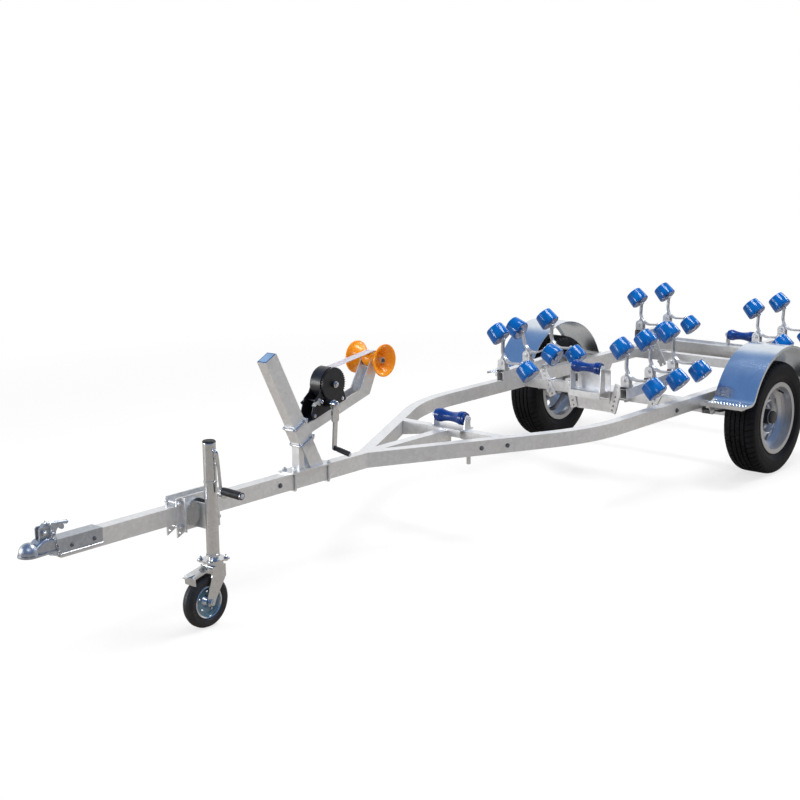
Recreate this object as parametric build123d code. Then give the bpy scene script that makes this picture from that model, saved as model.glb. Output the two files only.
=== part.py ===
from build123d import *
from math import asin, atan2, cos, degrees, hypot, pi, radians, sin, sqrt, tan
import os

# Single-axle boat trailer with pivoting roller cradles, a winch post and a swing-up jockey wheel.
# Millimetres, +Z up. Every place along the trailer is a station, measured backwards from the nose
# of the coupling; the floor is z = 0 and the centre plane is y = 0. The pieces are moved forwards
# by half the overall length when they are written, so that the origin is on the floor under the
# middle of the trailer, with +X towards the tail and +Y to the right-hand side.

# ---------------------------------------------------------------- overall
OVERALL_LENGTH = 5150
SEAT_GAP = 0.3                 # between pieces that bear on each other
FIT_GAP = 0.05                 # radial clearance of a running fit
CUT = 1                        # how far a cutting shape runs past the face that it opens

# ---------------------------------------------------------------- frame tube
RAIL_TOP = 448                 # height of the top faces of the frame tube
TUBE_HEIGHT = 65
TUBE_WIDTH = 50
TUBE_WALL = 3
RAIL_BOTTOM = RAIL_TOP - TUBE_HEIGHT
FRAME_WIDTH = 1050             # over the outer faces of the rails
DRAWBAR_FRONT = 150
DRAWBAR_REAR = 2275
SPLAY_START = 1715             # where a rail's outer face leaves the drawbar
SPLAY_ANGLE = 27.5
BEND_RADIUS = 900
LAMP_REACH = 90                # of the lamps' lenses behind the rails
RAIL_REAR = OVERALL_LENGTH - LAMP_REACH
STAY_STATION = 2148            # of the short stay under each rail
STAY_RADIUS = 9
STAY_LENGTH = 38

# ---------------------------------------------------------------- cross members
CROSS_DEPTH = 50               # length along the trailer of every cross member
CROSS_DROP = 13                # cross beams sit this far under the rail tops
CROSS_HEIGHT = 50
CROSS_TOP = RAIL_TOP - CROSS_DROP
CROSS_BOTTOM = CROSS_TOP - CROSS_HEIGHT
FRONT_CROSS_CENTRE_HEIGHT = 32
FRONT_CROSS_FLAT = 120
MID_CROSS_FRONT = 3531
REAR_CROSS_FRONT = RAIL_REAR - 429
TAIL_CROSS_FRONT = RAIL_REAR - CROSS_DEPTH
CLAMP_ROD = 4.5                # radius of the square clamps round the beams and the drawbar
CLAMP_STAND = 12               # how far a clamp's ends stand out above what it holds

# ---------------------------------------------------------------- coupling
BALL_RADIUS = 25
BALL_GAP = 0.1
BALL_STATION = 38
BALL_HEIGHT = 425
HEAD_WALL = 9
LIP_DROP = 14                  # of the head's bottom edge under the ball's middle
LIP_THICKNESS = 7
LIP_REACH = 4
SLEEVE_FRONT = 135
SLEEVE_REAR = 326
SLEEVE_WALL = 4
SLEEVE_SIDE_GAP = 0.5
SLEEVE_DEPTH = 57
SLEEVE_BOLTS = (195, 290)      # stations of the two cross bolts
# columns: station, width, top height of the pressed neck's sections
NECK_SECTIONS = ((56, 54, 445), (88, 58, 463), (SLEEVE_FRONT + 2, 58, 452))
LATCH_FRONT = 76
LATCH_REAR = 130
LATCH_TOP = 503
LATCH_HALF = 13
LATCH_CHEEK = 4
LEVER_ROD = 6.5
LEVER_FRONT = 104
LEVER_END = (197, 497)         # station and height

# ---------------------------------------------------------------- jockey wheel
JACK_STATION = 748
JACK_OFFSET = 125              # from the centre plane to the middle of the tube
JACK_SWING_HEIGHT = 415
JACK_TUBE_RADIUS = 24
JACK_TUBE_WALL = 2.5
JACK_TUBE_TOP = 695
JACK_TUBE_BOTTOM = 262
JACK_LEG_RADIUS = 20
JACK_LEG_GAP = 0.08
JACK_LEG_TOP = 600
JACK_PLATE_FRONT = JACK_STATION - 85
JACK_PLATE_REAR = JACK_STATION + 125
JACK_PLATE_BOTTOM = 338
JACK_PLATE_TOP = 480
JACK_PLATE_THICKNESS = 6
JACK_FLANGES = (JACK_STATION - 66, JACK_STATION + 85)  # stations of the two upright flanges beside the swing disc
JACK_FLANGE_REACH = 26
JACK_BOLT_INSET = 10           # from the plates' ends to their bolts
JACK_DISC_THICKNESS = 12
JACK_DISC_SIZE = 50
JACK_PIVOT_RADIUS = 12
CRANK_HEIGHT = 664
CRANK_ROD = 6
CRANK_OFFSET = 37              # of the crank's arm from the middle of the tube
CRANK_FOOT = (JACK_STATION + 16, 512)  # station and height
CRANK_GRIP_LENGTH = 96
CRANK_GRIP_RADIUS = 14
FOOT_PLATE_LENGTH = 100
FOOT_PLATE_WIDTH = 84
FOOT_PLATE_THICKNESS = 6
FOOT_BOLT_RADIUS = 6
SWIVEL_TOP = 246
SWIVEL_RADIUS = 36
SWIVEL_DEPTH = 14
SWIVEL_PIN_RADIUS = 8
JACK_WHEEL_RADIUS = 100
JACK_WHEEL_WIDTH = 50
JACK_TRAIL = 46
JACK_DISC_RADIUS = 63
JACK_AXLE_RADIUS = 6
FORK_PLATE = 4
FORK_GAP = 4
PEDAL_FRONT = JACK_STATION - 120  # of the foot brake over the jockey wheel
PEDAL_HALF_WIDTH = 27
PEDAL_FLAP = 30

# ---------------------------------------------------------------- winch post and winch arm
POST_STATION = 1411            # where the post's middle line meets the base plate
POST_RAKE = 27                 # leaning towards the coupling
POST_LENGTH = 530
BASE_FRONT = POST_STATION - 156
BASE_REAR = POST_STATION + 84
BASE_THICKNESS = 6
BASE_WIDTH = 80
BASE_TOP = RAIL_TOP + BASE_THICKNESS
BASE_CLAMPS = (BASE_FRONT + 26, BASE_REAR - 21)  # stations of the two clamps round the drawbar
STRUT_FRONT = BASE_FRONT + 59
STRUT_LENGTH = 28
STRUT_WIDTH = 40
COLLAR_LOW = 122               # along the post
COLLAR_HIGH = 216
COLLAR_WALL = 4
ARM_START = (1384, 644)        # station and height where the arm's top edge meets the collar
ARM_SLOPE = 16
ARM_LENGTH = 302
ARM_DEPTH = 44
ARM_WIDTH = 57
ARM_WALL = 4
ARM_RISE_ANGLE = 63
ARM_HEAD = 24                  # how far the cheeks run past the roller's pin, and their half width
BOW_ROLLER_STATION = 1770
BOW_ROLLER_HEIGHT = 838
BOW_ROLLER_LENGTH = 160
BOW_BELL_RADIUS = 68
BOW_BELL_WALL = 5
BOW_BELL_FLOOR = 16            # of solid at a bell's narrow end
BOW_BELL_NECK = 30
BOW_SPOOL_RADIUS = 30
BOW_SPOOL_BULGE = 3
BOW_SPOOL_GAP = 1.5
BOW_PIN_RADIUS = 8
BOW_HEAD_RADIUS = 13
BOW_HEAD_LENGTH = 9
BOW_WEB_GAP = 12               # between the spool and the web of the arm under it

# ---------------------------------------------------------------- winch, in the arm's own directions
WINCH_DRUM = (150, 94)         # along the arm from its start, and above its top edge
WINCH_SHAFT = (91, 38)
WINCH_PAWL = (62, 57)
WINCH_PLATE = 4
WINCH_INNER_WIDTH = 56
WINCH_HOOD_RADIUS = 66         # of the cover round the drum
WINCH_HOOD_WALL = 3
WINCH_HOOD_START = 74          # angles above the arm's direction between which the cover runs
WINCH_HOOD_END = 215
GEAR_RADIUS = 68
GEAR_ROOT = 63
GEAR_TEETH = 44
GEAR_THICKNESS = 8
DRUM_RADIUS = 58               # over the wound strap
DRUM_SHAFT_RADIUS = 8
CRANK_PLANE = 78
WINCH_CRANK_LENGTH = 178
WINCH_CRANK_WIDTH = 22
WINCH_CRANK_THICKNESS = 9
WINCH_GRIP_LENGTH = 82
WINCH_GRIP_RADIUS = 11
WINCH_GRIP_DROP = 14
STRAP_WIDTH = 44
STRAP_THICKNESS = 3

# ---------------------------------------------------------------- keel rollers
KEEL_LENGTH = 165
KEEL_END_RADIUS = 31
KEEL_WAIST_RADIUS = 22
KEEL_COLLAR_RADIUS = 27
KEEL_PIN_RADIUS = 8
KEEL_PLATE = 6
KEEL_SIDE_GAP = 3
KEEL_EAR = 24                  # half the width of an ear at its root
KEEL_EAR_TOP = 17              # and at the pin
# columns: name, station and height of the roller, front and rear of its base, height of its seat
KEEL_ROLLERS = (
    ("front", DRAWBAR_REAR + 34, 497, DRAWBAR_REAR - 25, DRAWBAR_REAR + 75, RAIL_TOP),
    ("mid", MID_CROSS_FRONT - 126, 560, MID_CROSS_FRONT - 156, MID_CROSS_FRONT + 59, CROSS_TOP),
    ("tail", RAIL_REAR - 32, 505, RAIL_REAR - 75, RAIL_REAR, CROSS_TOP),
)
# front face, half width, foot, top, and lean of the side straps
KEEL_WEB = (MID_CROSS_FRONT - 69, 97, 331, 545, 15)
KEEL_SHELF = 60                # how far the shelf on the cross beam reaches past the web, each side
KEEL_CLAMPS = (145, 40, -145)

# ---------------------------------------------------------------- axle, springs and road wheels
AXLE_STATION = 4035
TYRE_RADIUS = 287.5
TYRE_WIDTH = 172
TYRE_BEAD_RADIUS = 167
TREAD_HALF = 58                # half the width of the flat of the tread
GROOVE_PLACES = (-38, -13, 13, 38)
GROOVE_WIDTH = 7
GROOVE_DEPTH = 7
RIM_LIP_RADIUS = 183
RIM_SEAT_RADIUS = 166
RIM_WELL_RADIUS = 146
RIM_WIDTH = 150
RIM_WALL = 5
WHEEL_CLEARANCE = 47           # between the rail and the tyre
# from the centre plane to the middle of the tyre
WHEEL_PLANE = FRAME_WIDTH / 2 + WHEEL_CLEARANCE + TYRE_WIDTH / 2
DISC_INSET = 12                # of the wheel disc's rim, outwards from the middle of the wheel
DISC_BOWL = 8                  # how much further in its middle lies
DISC_WALL = 5
WINDOW_COUNT = 8
WINDOW_OUTER = 126
WINDOW_INNER = 80
WINDOW_HALF = 19
HUB_RADIUS = 38
HUB_FLANGE_RADIUS = 66
HUB_CAP_RADIUS = 31
HUB_INNER = WHEEL_PLANE - 62
HUB_OUTER = WHEEL_PLANE + 54
AXLE_SIZE = 45
AXLE_END = HUB_INNER - 6
STUB_RADIUS = 17
SPRING_OFFSET = (FRAME_WIDTH - TUBE_WIDTH) / 2
SPRING_HALF = 300
SPRING_WIDTH = 45
SPRING_LEAF = 7
LEAF_HALVES = (SPRING_HALF, 215, 130)
SPRING_EYE_HEIGHT = 345
SPRING_EYE_RADIUS = 14
EYE_BOLT_RADIUS = 7
HANGER_PLATE = 5
SADDLE_LENGTH = 90             # of the plate under the axle that the spring's clamps pull up

# ---------------------------------------------------------------- mudguards
GUARD_RADIUS = 372
GUARD_INNER = FRAME_WIDTH / 2 + 35
GUARD_OUTER = WHEEL_PLANE + 117
GUARD_SHEET = 3
GUARD_STEP_HEIGHT = 423        # of the top of each step
GUARD_STEP_REACH = 445         # from the axle to a step's end
GUARD_SWEEP = 42               # radius between the arch and a step
GUARD_LIP = 13                 # depth of the turned-down outer edge

# ---------------------------------------------------------------- roller cradles
CRADLE_OFFSET = 365
BEAM_WIDTH = 40
BEAM_HEIGHT = 50
BEAM_OVERHANG = 28
PIVOT_RISE = 67                # of an arm's pivot above the middle line of its beam
PIVOT_BOLT_RADIUS = 6
PIVOT_HEAD_RADIUS = 11
PIVOT_HEAD = 7
PIVOT_PLATE = 5
PIVOT_PLATE_WIDTH = 44
ARM_HUB_RADIUS = 15
ARM_HUB_LENGTH = 22
ARM_SIDE_GAP = 0.5
ARM_BAR_WIDTH = 20
ARM_BAR_THICKNESS = 9
ARM_BAR_RADIUS = 62            # of the bend over the pivot
ARM_BAR_CORNER = -6            # height, from the pivot, where the two straight legs would meet
ROLLER_SPREAD = 125            # from the pivot to a roller's middle, with the arm level
ROLLER_RISE = 86
ROLLER_WIDTH = 74
ROLLER_OPEN_RADIUS = 52        # at the dished end, which faces the trailer's left
ROLLER_SMALL_RADIUS = 47
ROLLER_SHOULDER = 7
ROLLER_WALL = 8
ROLLER_DISH = 17
ROLLER_SMALL_DISH = 6
ROLLER_BOSS_RADIUS = 17
ROLLER_STUB_RADIUS = 8
STUB_GAP = 0.1
FLOP_ANGLE = 45                # how far an arm lies over when nothing rests on it
STIFF_ARM = "front_right_2"    # whose tight bolt holds it part of the way over
STIFF_ANGLE = 28
STEM_LEAN = 27                 # of the punched straps that carry the cradles, outwards
STEM_WIDTH = 42
STEM_THICKNESS = 6
STEM_HOLE_RADIUS = 6
STEM_HOLE_PITCH = 25
SADDLE_WALL = 4
SADDLE_HALF = 32
SADDLE_RISE = 20
# columns: name, middle station, height of the beam's middle line, nose-down tilt, pivot spacing, pivots
CRADLES = (
    ("front", MID_CROSS_FRONT - 129, 519, 2.9, 215, 3),
    ("rear", REAR_CROSS_FRONT + 19, 543, 0.0, 300, 2),
)

# ---------------------------------------------------------------- tail
LAMP_BOARD_HEIGHT = 110
LAMP_BOARD_BOTTOM = 338
LAMP_BOARD_OVERHANG = 100      # past the rails, each side
LAMP_BOARD_SHEET = 3
PLATE_PAD = 2                  # the raised seat of the number plate
PLATE_HALF_LENGTH = 260
PLATE_MARGIN = 4
LAMP_LENGTH = 150
LAMP_MARGIN = 12


# ================================================================ helpers
def block(x0, x1, y0, y1, z0, z1):
    """A box between two limits on each axis."""
    middle = Pos((x0 + x1) / 2, (y0 + y1) / 2, (z0 + z1) / 2)
    return middle * Box(x1 - x0, y1 - y0, z1 - z0)


def rod(start, end, radius):
    """A round bar between two points."""
    axis = Vector(*end) - Vector(*start)
    plane = Plane(origin=start, z_dir=axis)
    return extrude(plane * Circle(radius), axis.length)


def tube_y(station, height, y0, y1, radius):
    """A round bar across the trailer."""
    return rod((station, y0, height), (station, y1, height), radius)


def nut_y(station, height, y0, y1, radius):
    """A hexagon across the trailer, measured to its corners."""
    plane = Plane(origin=(station, y0, height), x_dir=(1, 0, 0), z_dir=(0, 1, 0))
    return extrude(plane * RegularPolygon(radius, 6), y1 - y0)


def bent_rod(points, bend, radius):
    """A round bar along straight runs with rounded corners."""
    path = FilletPolyline(*points, radius=bend)
    start = Plane(origin=path @ 0, z_dir=path % 0)
    return sweep(start * Circle(radius), path=path)


def hollow_bar(x0, x1, y0, y1, z0, z1, wall, axis):
    """A rectangular tube along the named axis, open at both ends."""
    outer = block(x0, x1, y0, y1, z0, z1)
    if axis == "X":
        inner = block(x0 - CUT, x1 + CUT, y0 + wall, y1 - wall, z0 + wall, z1 - wall)
    else:
        inner = block(x0 + wall, x1 - wall, y0 - CUT, y1 + CUT, z0 + wall, z1 - wall)
    return outer - inner


def across(solid):
    """The same piece on the other side of the centre plane."""
    return mirror(solid, about=Plane.XZ)


def side_plate(outline, y0, y1):
    """A plate cut to an outline of (station, height) points, between two y values."""
    plane = Plane(origin=(0, y0, 0), x_dir=(1, 0, 0), z_dir=(0, -1, 0))
    return extrude(plane * make_face(Polyline(*outline, close=True)), -(y1 - y0))


def ring_y(station, middle_y, height, outer, inner, width):
    """A plain ring about an axle across the trailer."""
    ring = tube_y(station, height, middle_y - width / 2, middle_y + width / 2, outer)
    return ring - tube_y(station, height, middle_y - width, middle_y + width, inner)


def turned(points):
    """A solid turned about the Y axis from (radius, y) points."""
    return revolve(make_face(Polyline(*points, close=True)), Axis.Y)


NODES = {}


def keep(name, *solids):
    """Collects the solids of one named node."""
    NODES[name] = solids[0] if len(solids) == 1 else Compound(children=list(solids))


# ================================================================ frame
def rail_path():
    outer_corner = SPLAY_START + (FRAME_WIDTH - TUBE_WIDTH) / 2 / tan(radians(SPLAY_ANGLE))
    middle_corner = outer_corner + TUBE_WIDTH / 2 * tan(radians(SPLAY_ANGLE / 2))
    rail_y = -(FRAME_WIDTH - TUBE_WIDTH) / 2
    height = (RAIL_TOP + RAIL_BOTTOM) / 2
    splay = -rail_y / sin(radians(SPLAY_ANGLE))
    front = (middle_corner - splay * cos(radians(SPLAY_ANGLE)), 0, height)
    return FilletPolyline(front, (middle_corner, rail_y, height), (RAIL_REAR, rail_y, height),
                          radius=BEND_RADIUS)


def swept_rail(width, height):
    path = rail_path()
    start = Plane(origin=path @ 0, x_dir=(0, 0, 1), z_dir=path % 0)
    return sweep(start * Rectangle(height, width), path=path)


def rails():
    """The left rail, and the space that it fills; a stay hangs under its splayed run."""
    drawbar_side = block(0, RAIL_REAR, -TUBE_WIDTH / 2, FRAME_WIDTH, 0, RAIL_TOP + TUBE_HEIGHT)
    envelope = swept_rail(TUBE_WIDTH, TUBE_HEIGHT) - drawbar_side
    bore = swept_rail(TUBE_WIDTH - 2 * TUBE_WALL, TUBE_HEIGHT - 2 * TUBE_WALL)
    start = rail_path() @ 0
    stay_y = -(STAY_STATION - start.X) * tan(radians(SPLAY_ANGLE))
    stay = rod((STAY_STATION, stay_y, RAIL_BOTTOM - STAY_LENGTH), (STAY_STATION, stay_y, RAIL_BOTTOM + TUBE_WALL / 2),
               STAY_RADIUS)
    return envelope, envelope - bore + stay


rail_envelope, rail_left = rails()
keep("rail_left", rail_left)
keep("rail_right", across(rail_left))

drawbar = hollow_bar(DRAWBAR_FRONT, DRAWBAR_REAR, -TUBE_WIDTH / 2, TUBE_WIDTH / 2,
                     RAIL_BOTTOM, RAIL_TOP, TUBE_WALL, "X")
for bolt_station in SLEEVE_BOLTS:
    drawbar -= tube_y(bolt_station, BALL_HEIGHT - 5, -TUBE_WIDTH, TUBE_WIDTH, 6 + SEAT_GAP)
keep("drawbar", drawbar)


def front_crossmember():
    """Two wings, deep at the rails and shallow in the middle, welded behind the drawbar."""
    half = FRAME_WIDTH / 2
    flat = FRONT_CROSS_FLAT / 2
    waist = RAIL_TOP - FRONT_CROSS_CENTRE_HEIGHT
    plane = Plane(origin=(DRAWBAR_REAR, 0, 0), x_dir=(0, 1, 0), z_dir=(1, 0, 0))
    outline = Polyline((-half, RAIL_TOP), (half, RAIL_TOP), (half, RAIL_BOTTOM), (half / 2, RAIL_BOTTOM),
                       (flat, waist), (-flat, waist), (-half / 2, RAIL_BOTTOM), (-half, RAIL_BOTTOM),
                       close=True)
    beam = extrude(plane * make_face(outline), CROSS_DEPTH)
    beam -= rail_envelope
    beam -= across(rail_envelope)
    return sorted(beam.solids(), key=lambda piece: abs(piece.center().Y))[0]


keep("front_crossmember", front_crossmember())


def cross_beam(front):
    reach = FRAME_WIDTH / 2 - TUBE_WIDTH
    return hollow_bar(front, front + CROSS_DEPTH, -reach, reach, CROSS_BOTTOM, CROSS_TOP, TUBE_WALL, "Y")


keep("cross_beams", *[cross_beam(front) for front in (MID_CROSS_FRONT, REAR_CROSS_FRONT, TAIL_CROSS_FRONT)])


def beam_clamp(front, y, seat):
    """A square clamp round a cross beam, its two ends standing out above a seat."""
    out = CLAMP_ROD + SEAT_GAP
    points = [(front - out, y, seat + CLAMP_STAND), (front - out, y, CROSS_BOTTOM - out),
              (front + CROSS_DEPTH + out, y, CROSS_BOTTOM - out),
              (front + CROSS_DEPTH + out, y, seat + CLAMP_STAND)]
    return bent_rod(points, CLAMP_ROD + 1, CLAMP_ROD)


# ================================================================ coupling
def neck_section(station, width, top, shrink=0.0):
    """One rounded section of the pressed neck, open towards the road."""
    bottom = BALL_HEIGHT - LIP_DROP
    plane = Plane(origin=(station, 0, (top + bottom) / 2), x_dir=(0, 1, 0), z_dir=(1, 0, 0))
    return plane * RectangleRounded(width - 2 * shrink, top - bottom, 11)


def coupler():
    """A pressed head with a ball dome and a flanged lip, and a sleeve over the drawbar."""
    side = TUBE_WIDTH / 2 + SLEEVE_SIDE_GAP
    outer = side + SLEEVE_WALL
    top = RAIL_TOP + SLEEVE_WALL
    bottom = BALL_HEIGHT - LIP_DROP
    dome_radius = BALL_RADIUS + HEAD_WALL
    shell = block(SLEEVE_FRONT, SLEEVE_REAR, -outer, outer, top - SLEEVE_DEPTH, top)
    shell -= block(DRAWBAR_FRONT, SLEEVE_REAR + CUT, -side, side, 0, RAIL_TOP)
    head = Pos(BALL_STATION, 0, BALL_HEIGHT) * Sphere(dome_radius)
    head -= block(-CUT, 2 * BALL_STATION, -BALL_STATION, BALL_STATION, 0, bottom)
    head += loft([neck_section(*section) for section in NECK_SECTIONS])
    lip_radius = BALL_STATION
    lip = rod((BALL_STATION, 0, bottom), (BALL_STATION, 0, bottom + LIP_THICKNESS), lip_radius)
    flange = Plane(origin=(0, 0, bottom)) * make_face(Polyline(
        (BALL_STATION, -lip_radius), (SLEEVE_FRONT + LIP_REACH, -outer - LIP_REACH / 2),
        (SLEEVE_FRONT + LIP_REACH, outer + LIP_REACH / 2), (BALL_STATION, lip_radius), close=True))
    head += lip + extrude(flange, LIP_THICKNESS)
    reach = BALL_RADIUS + HEAD_WALL
    head -= block(BALL_STATION + reach, SLEEVE_FRONT - LIP_THICKNESS, -20, 20, bottom - CUT, bottom + 30)
    body = head + shell
    socket = Pos(BALL_STATION, 0, BALL_HEIGHT) * Sphere(BALL_RADIUS + BALL_GAP)
    throat = rod((BALL_STATION, 0, 0), (BALL_STATION, 0, BALL_HEIGHT), BALL_RADIUS + BALL_GAP)
    body -= socket
    body -= throat
    for station in SLEEVE_BOLTS:
        body += tube_y(station, BALL_HEIGHT - 5, -outer - 4, outer + 4, 6)
    return body


keep("coupler", coupler())


def coupler_latch():
    """Two cheeks with a pivot bolt, a hooked finger trigger and a round lever."""
    inner = LATCH_HALF - LATCH_CHEEK
    cheek = [(LATCH_FRONT, BALL_HEIGHT), (LATCH_FRONT, LATCH_TOP - 6), (LATCH_FRONT + 6, LATCH_TOP),
             (LATCH_REAR - 14, LATCH_TOP), (LATCH_REAR, LATCH_TOP - 16), (LATCH_REAR, BALL_HEIGHT)]
    latch = side_plate(cheek, -LATCH_HALF, -inner) + side_plate(cheek, inner, LATCH_HALF)
    trigger = [(LEVER_FRONT - 14, BALL_HEIGHT), (LEVER_FRONT - 14, LATCH_TOP - 4), (LEVER_FRONT, LATCH_TOP + 8),
               (LATCH_REAR + 30, LATCH_TOP + 1), (LATCH_REAR + 52, LATCH_TOP - 12),
               (LATCH_REAR + 50, LATCH_TOP - 24), (LATCH_REAR + 42, LATCH_TOP - 26),
               (LATCH_REAR + 36, LATCH_TOP - 16), (LATCH_REAR + 26, LATCH_TOP - 16),
               (LATCH_REAR + 18, LATCH_TOP - 26), (LATCH_REAR + 16, LATCH_TOP - 38),
               (LATCH_REAR + 4, LATCH_TOP - 44), (LATCH_REAR - 6, BALL_HEIGHT)]
    latch += side_plate(trigger, -inner, inner)
    latch += rod((LEVER_FRONT, 0, LATCH_TOP + 5), (LEVER_END[0], 0, LEVER_END[1]), LEVER_ROD)
    latch += Pos(LEVER_END[0], 0, LEVER_END[1]) * Sphere(LEVER_ROD + 1)
    bolt_height = (LATCH_TOP + RAIL_TOP) / 2 + 8
    latch += tube_y(LATCH_FRONT + 18, bolt_height, -LATCH_HALF - 8, LATCH_HALF + 8, 5)
    latch += nut_y(LATCH_FRONT + 18, bolt_height, -LATCH_HALF - 6, -LATCH_HALF, 10)
    latch += nut_y(LATCH_FRONT + 18, bolt_height, LATCH_HALF, LATCH_HALF + 6, 10)
    above = latch - NODES["coupler"]
    above -= block(0, SLEEVE_REAR, -LATCH_HALF, LATCH_HALF, 0, RAIL_TOP - 4)
    return sorted(above.solids(), key=lambda piece: piece.volume)[-1]


keep("coupler_latch", coupler_latch())


# ================================================================ jockey wheel
JACK_PLATE_FACE = -(TUBE_WIDTH / 2 + JACK_PLATE_THICKNESS)
JACK_PIVOT_FACE = JACK_PLATE_FACE - JACK_DISC_THICKNESS


def jockey_bracket():
    """Two plates clamped on the drawbar; the outer one has upright flanges and the swing disc."""
    half = TUBE_WIDTH / 2
    x0 = JACK_PLATE_FRONT
    x1 = JACK_PLATE_REAR
    outline = [(x0, JACK_PLATE_BOTTOM - 8), (x0 + 46, JACK_PLATE_BOTTOM + 14), (x1 - 46, JACK_PLATE_BOTTOM + 14),
               (x1, JACK_PLATE_BOTTOM - 8), (x1, JACK_PLATE_TOP), (x0, JACK_PLATE_TOP)]
    bracket = side_plate(outline, JACK_PLATE_FACE, -half)
    bracket += side_plate(outline, half, half + JACK_PLATE_THICKNESS)
    for edge in JACK_FLANGES:
        bracket += block(edge, edge + JACK_PLATE_THICKNESS, JACK_PLATE_FACE - JACK_FLANGE_REACH, -half,
                         JACK_PLATE_BOTTOM + 14, JACK_PLATE_TOP)
    for station in (x0 + JACK_BOLT_INSET, x1 - JACK_BOLT_INSET):
        bracket -= tube_y(station, JACK_PLATE_BOTTOM + 10, -TUBE_WIDTH, TUBE_WIDTH, 5)
        for height in (RAIL_BOTTOM - 12, RAIL_TOP + 12):
            bracket += tube_y(station, height, JACK_PLATE_FACE - 12, half + JACK_PLATE_THICKNESS + 12, 5)
            bracket += nut_y(station, height, JACK_PLATE_FACE - 8, JACK_PLATE_FACE, 9)
            bracket += nut_y(station, height, half + JACK_PLATE_THICKNESS, half + JACK_PLATE_THICKNESS + 8, 9)
    disc = tube_y(JACK_STATION, JACK_SWING_HEIGHT, JACK_PIVOT_FACE, JACK_PLATE_FACE, JACK_DISC_SIZE)
    bracket += disc
    bracket += tube_y(JACK_STATION, JACK_SWING_HEIGHT, JACK_PIVOT_FACE - 14, JACK_PLATE_FACE, JACK_PIVOT_RADIUS)
    return bracket


keep("jockey_bracket", jockey_bracket())


def jockey_tube():
    """The outer tube with its cap, welded through a web to a disc that turns on the bracket."""
    x = JACK_STATION
    y = -JACK_OFFSET
    face = JACK_PIVOT_FACE - SEAT_GAP
    body = rod((x, y, JACK_TUBE_BOTTOM), (x, y, JACK_TUBE_TOP), JACK_TUBE_RADIUS)
    top_edge = body.edges().filter_by(GeomType.CIRCLE).sort_by(Axis.Z)[-1]
    body = fillet(top_edge, 8)
    body += tube_y(x, JACK_SWING_HEIGHT, face - 6, face, JACK_DISC_SIZE + 4)
    web = side_plate([(x - 22, JACK_SWING_HEIGHT - 48), (x + 22, JACK_SWING_HEIGHT - 48),
                      (x + 22, JACK_SWING_HEIGHT + 48), (x - 22, JACK_SWING_HEIGHT + 48)], y, face - 6)
    hollow_web = block(x - 17, x + 17, y + JACK_TUBE_RADIUS - 4, face - 6, JACK_SWING_HEIGHT - 60,
                       JACK_SWING_HEIGHT + 60)
    body += web - hollow_web
    bore_top = JACK_TUBE_TOP - 20
    body -= rod((x, y, JACK_TUBE_BOTTOM - CUT), (x, y, bore_top), JACK_LEG_RADIUS + JACK_LEG_GAP)
    return body - tube_y(x, JACK_SWING_HEIGHT, face - 22, 0, JACK_PIVOT_RADIUS + FIT_GAP)


keep("jockey_tube", jockey_tube())


def jockey_crank():
    """A bent round bar beside the tube, with its shaft at the top and a grip at the foot."""
    y = -JACK_OFFSET - CRANK_OFFSET
    foot_x, foot_z = CRANK_FOOT
    start = -JACK_OFFSET - JACK_TUBE_RADIUS
    points = [(JACK_STATION, start, CRANK_HEIGHT), (JACK_STATION, y, CRANK_HEIGHT),
              (JACK_STATION + 6, y, CRANK_HEIGHT - 40), (foot_x, y, foot_z), (foot_x + 1, y - 30, foot_z - 1)]
    crank = bent_rod(points, 11, CRANK_ROD)
    grip = rod((foot_x, y - 10, foot_z), (foot_x + 4, y - 10 - CRANK_GRIP_LENGTH, foot_z - 5), CRANK_GRIP_RADIUS)
    return crank + grip


keep("jockey_crank", jockey_crank())


def jockey_leg():
    """The sliding inner tube with a square foot plate, its four bolts and the caster's pin."""
    x = JACK_STATION
    y = -JACK_OFFSET
    plate_top = SWIVEL_TOP + FOOT_PLATE_THICKNESS
    leg = rod((x, y, plate_top - CUT), (x, y, JACK_LEG_TOP), JACK_LEG_RADIUS)
    half_length = FOOT_PLATE_LENGTH / 2
    half_width = FOOT_PLATE_WIDTH / 2
    plate = block(x - half_length, x + half_length, y - half_width, y + half_width, SWIVEL_TOP, plate_top)
    leg += fillet(plate.edges().filter_by(Axis.Z), 12)
    for dx in (-1, 1):
        for dy in (-1, 1):
            bolt_x = x + dx * (half_length - 14)
            bolt_y = y + dy * (half_width - 13)
            leg += rod((bolt_x, bolt_y, SWIVEL_TOP), (bolt_x, bolt_y, plate_top + 7), FOOT_BOLT_RADIUS)
    return leg + rod((x, y, SWIVEL_TOP - SWIVEL_DEPTH - 6), (x, y, plate_top), SWIVEL_PIN_RADIUS)


keep("jockey_leg", jockey_leg())


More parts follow.
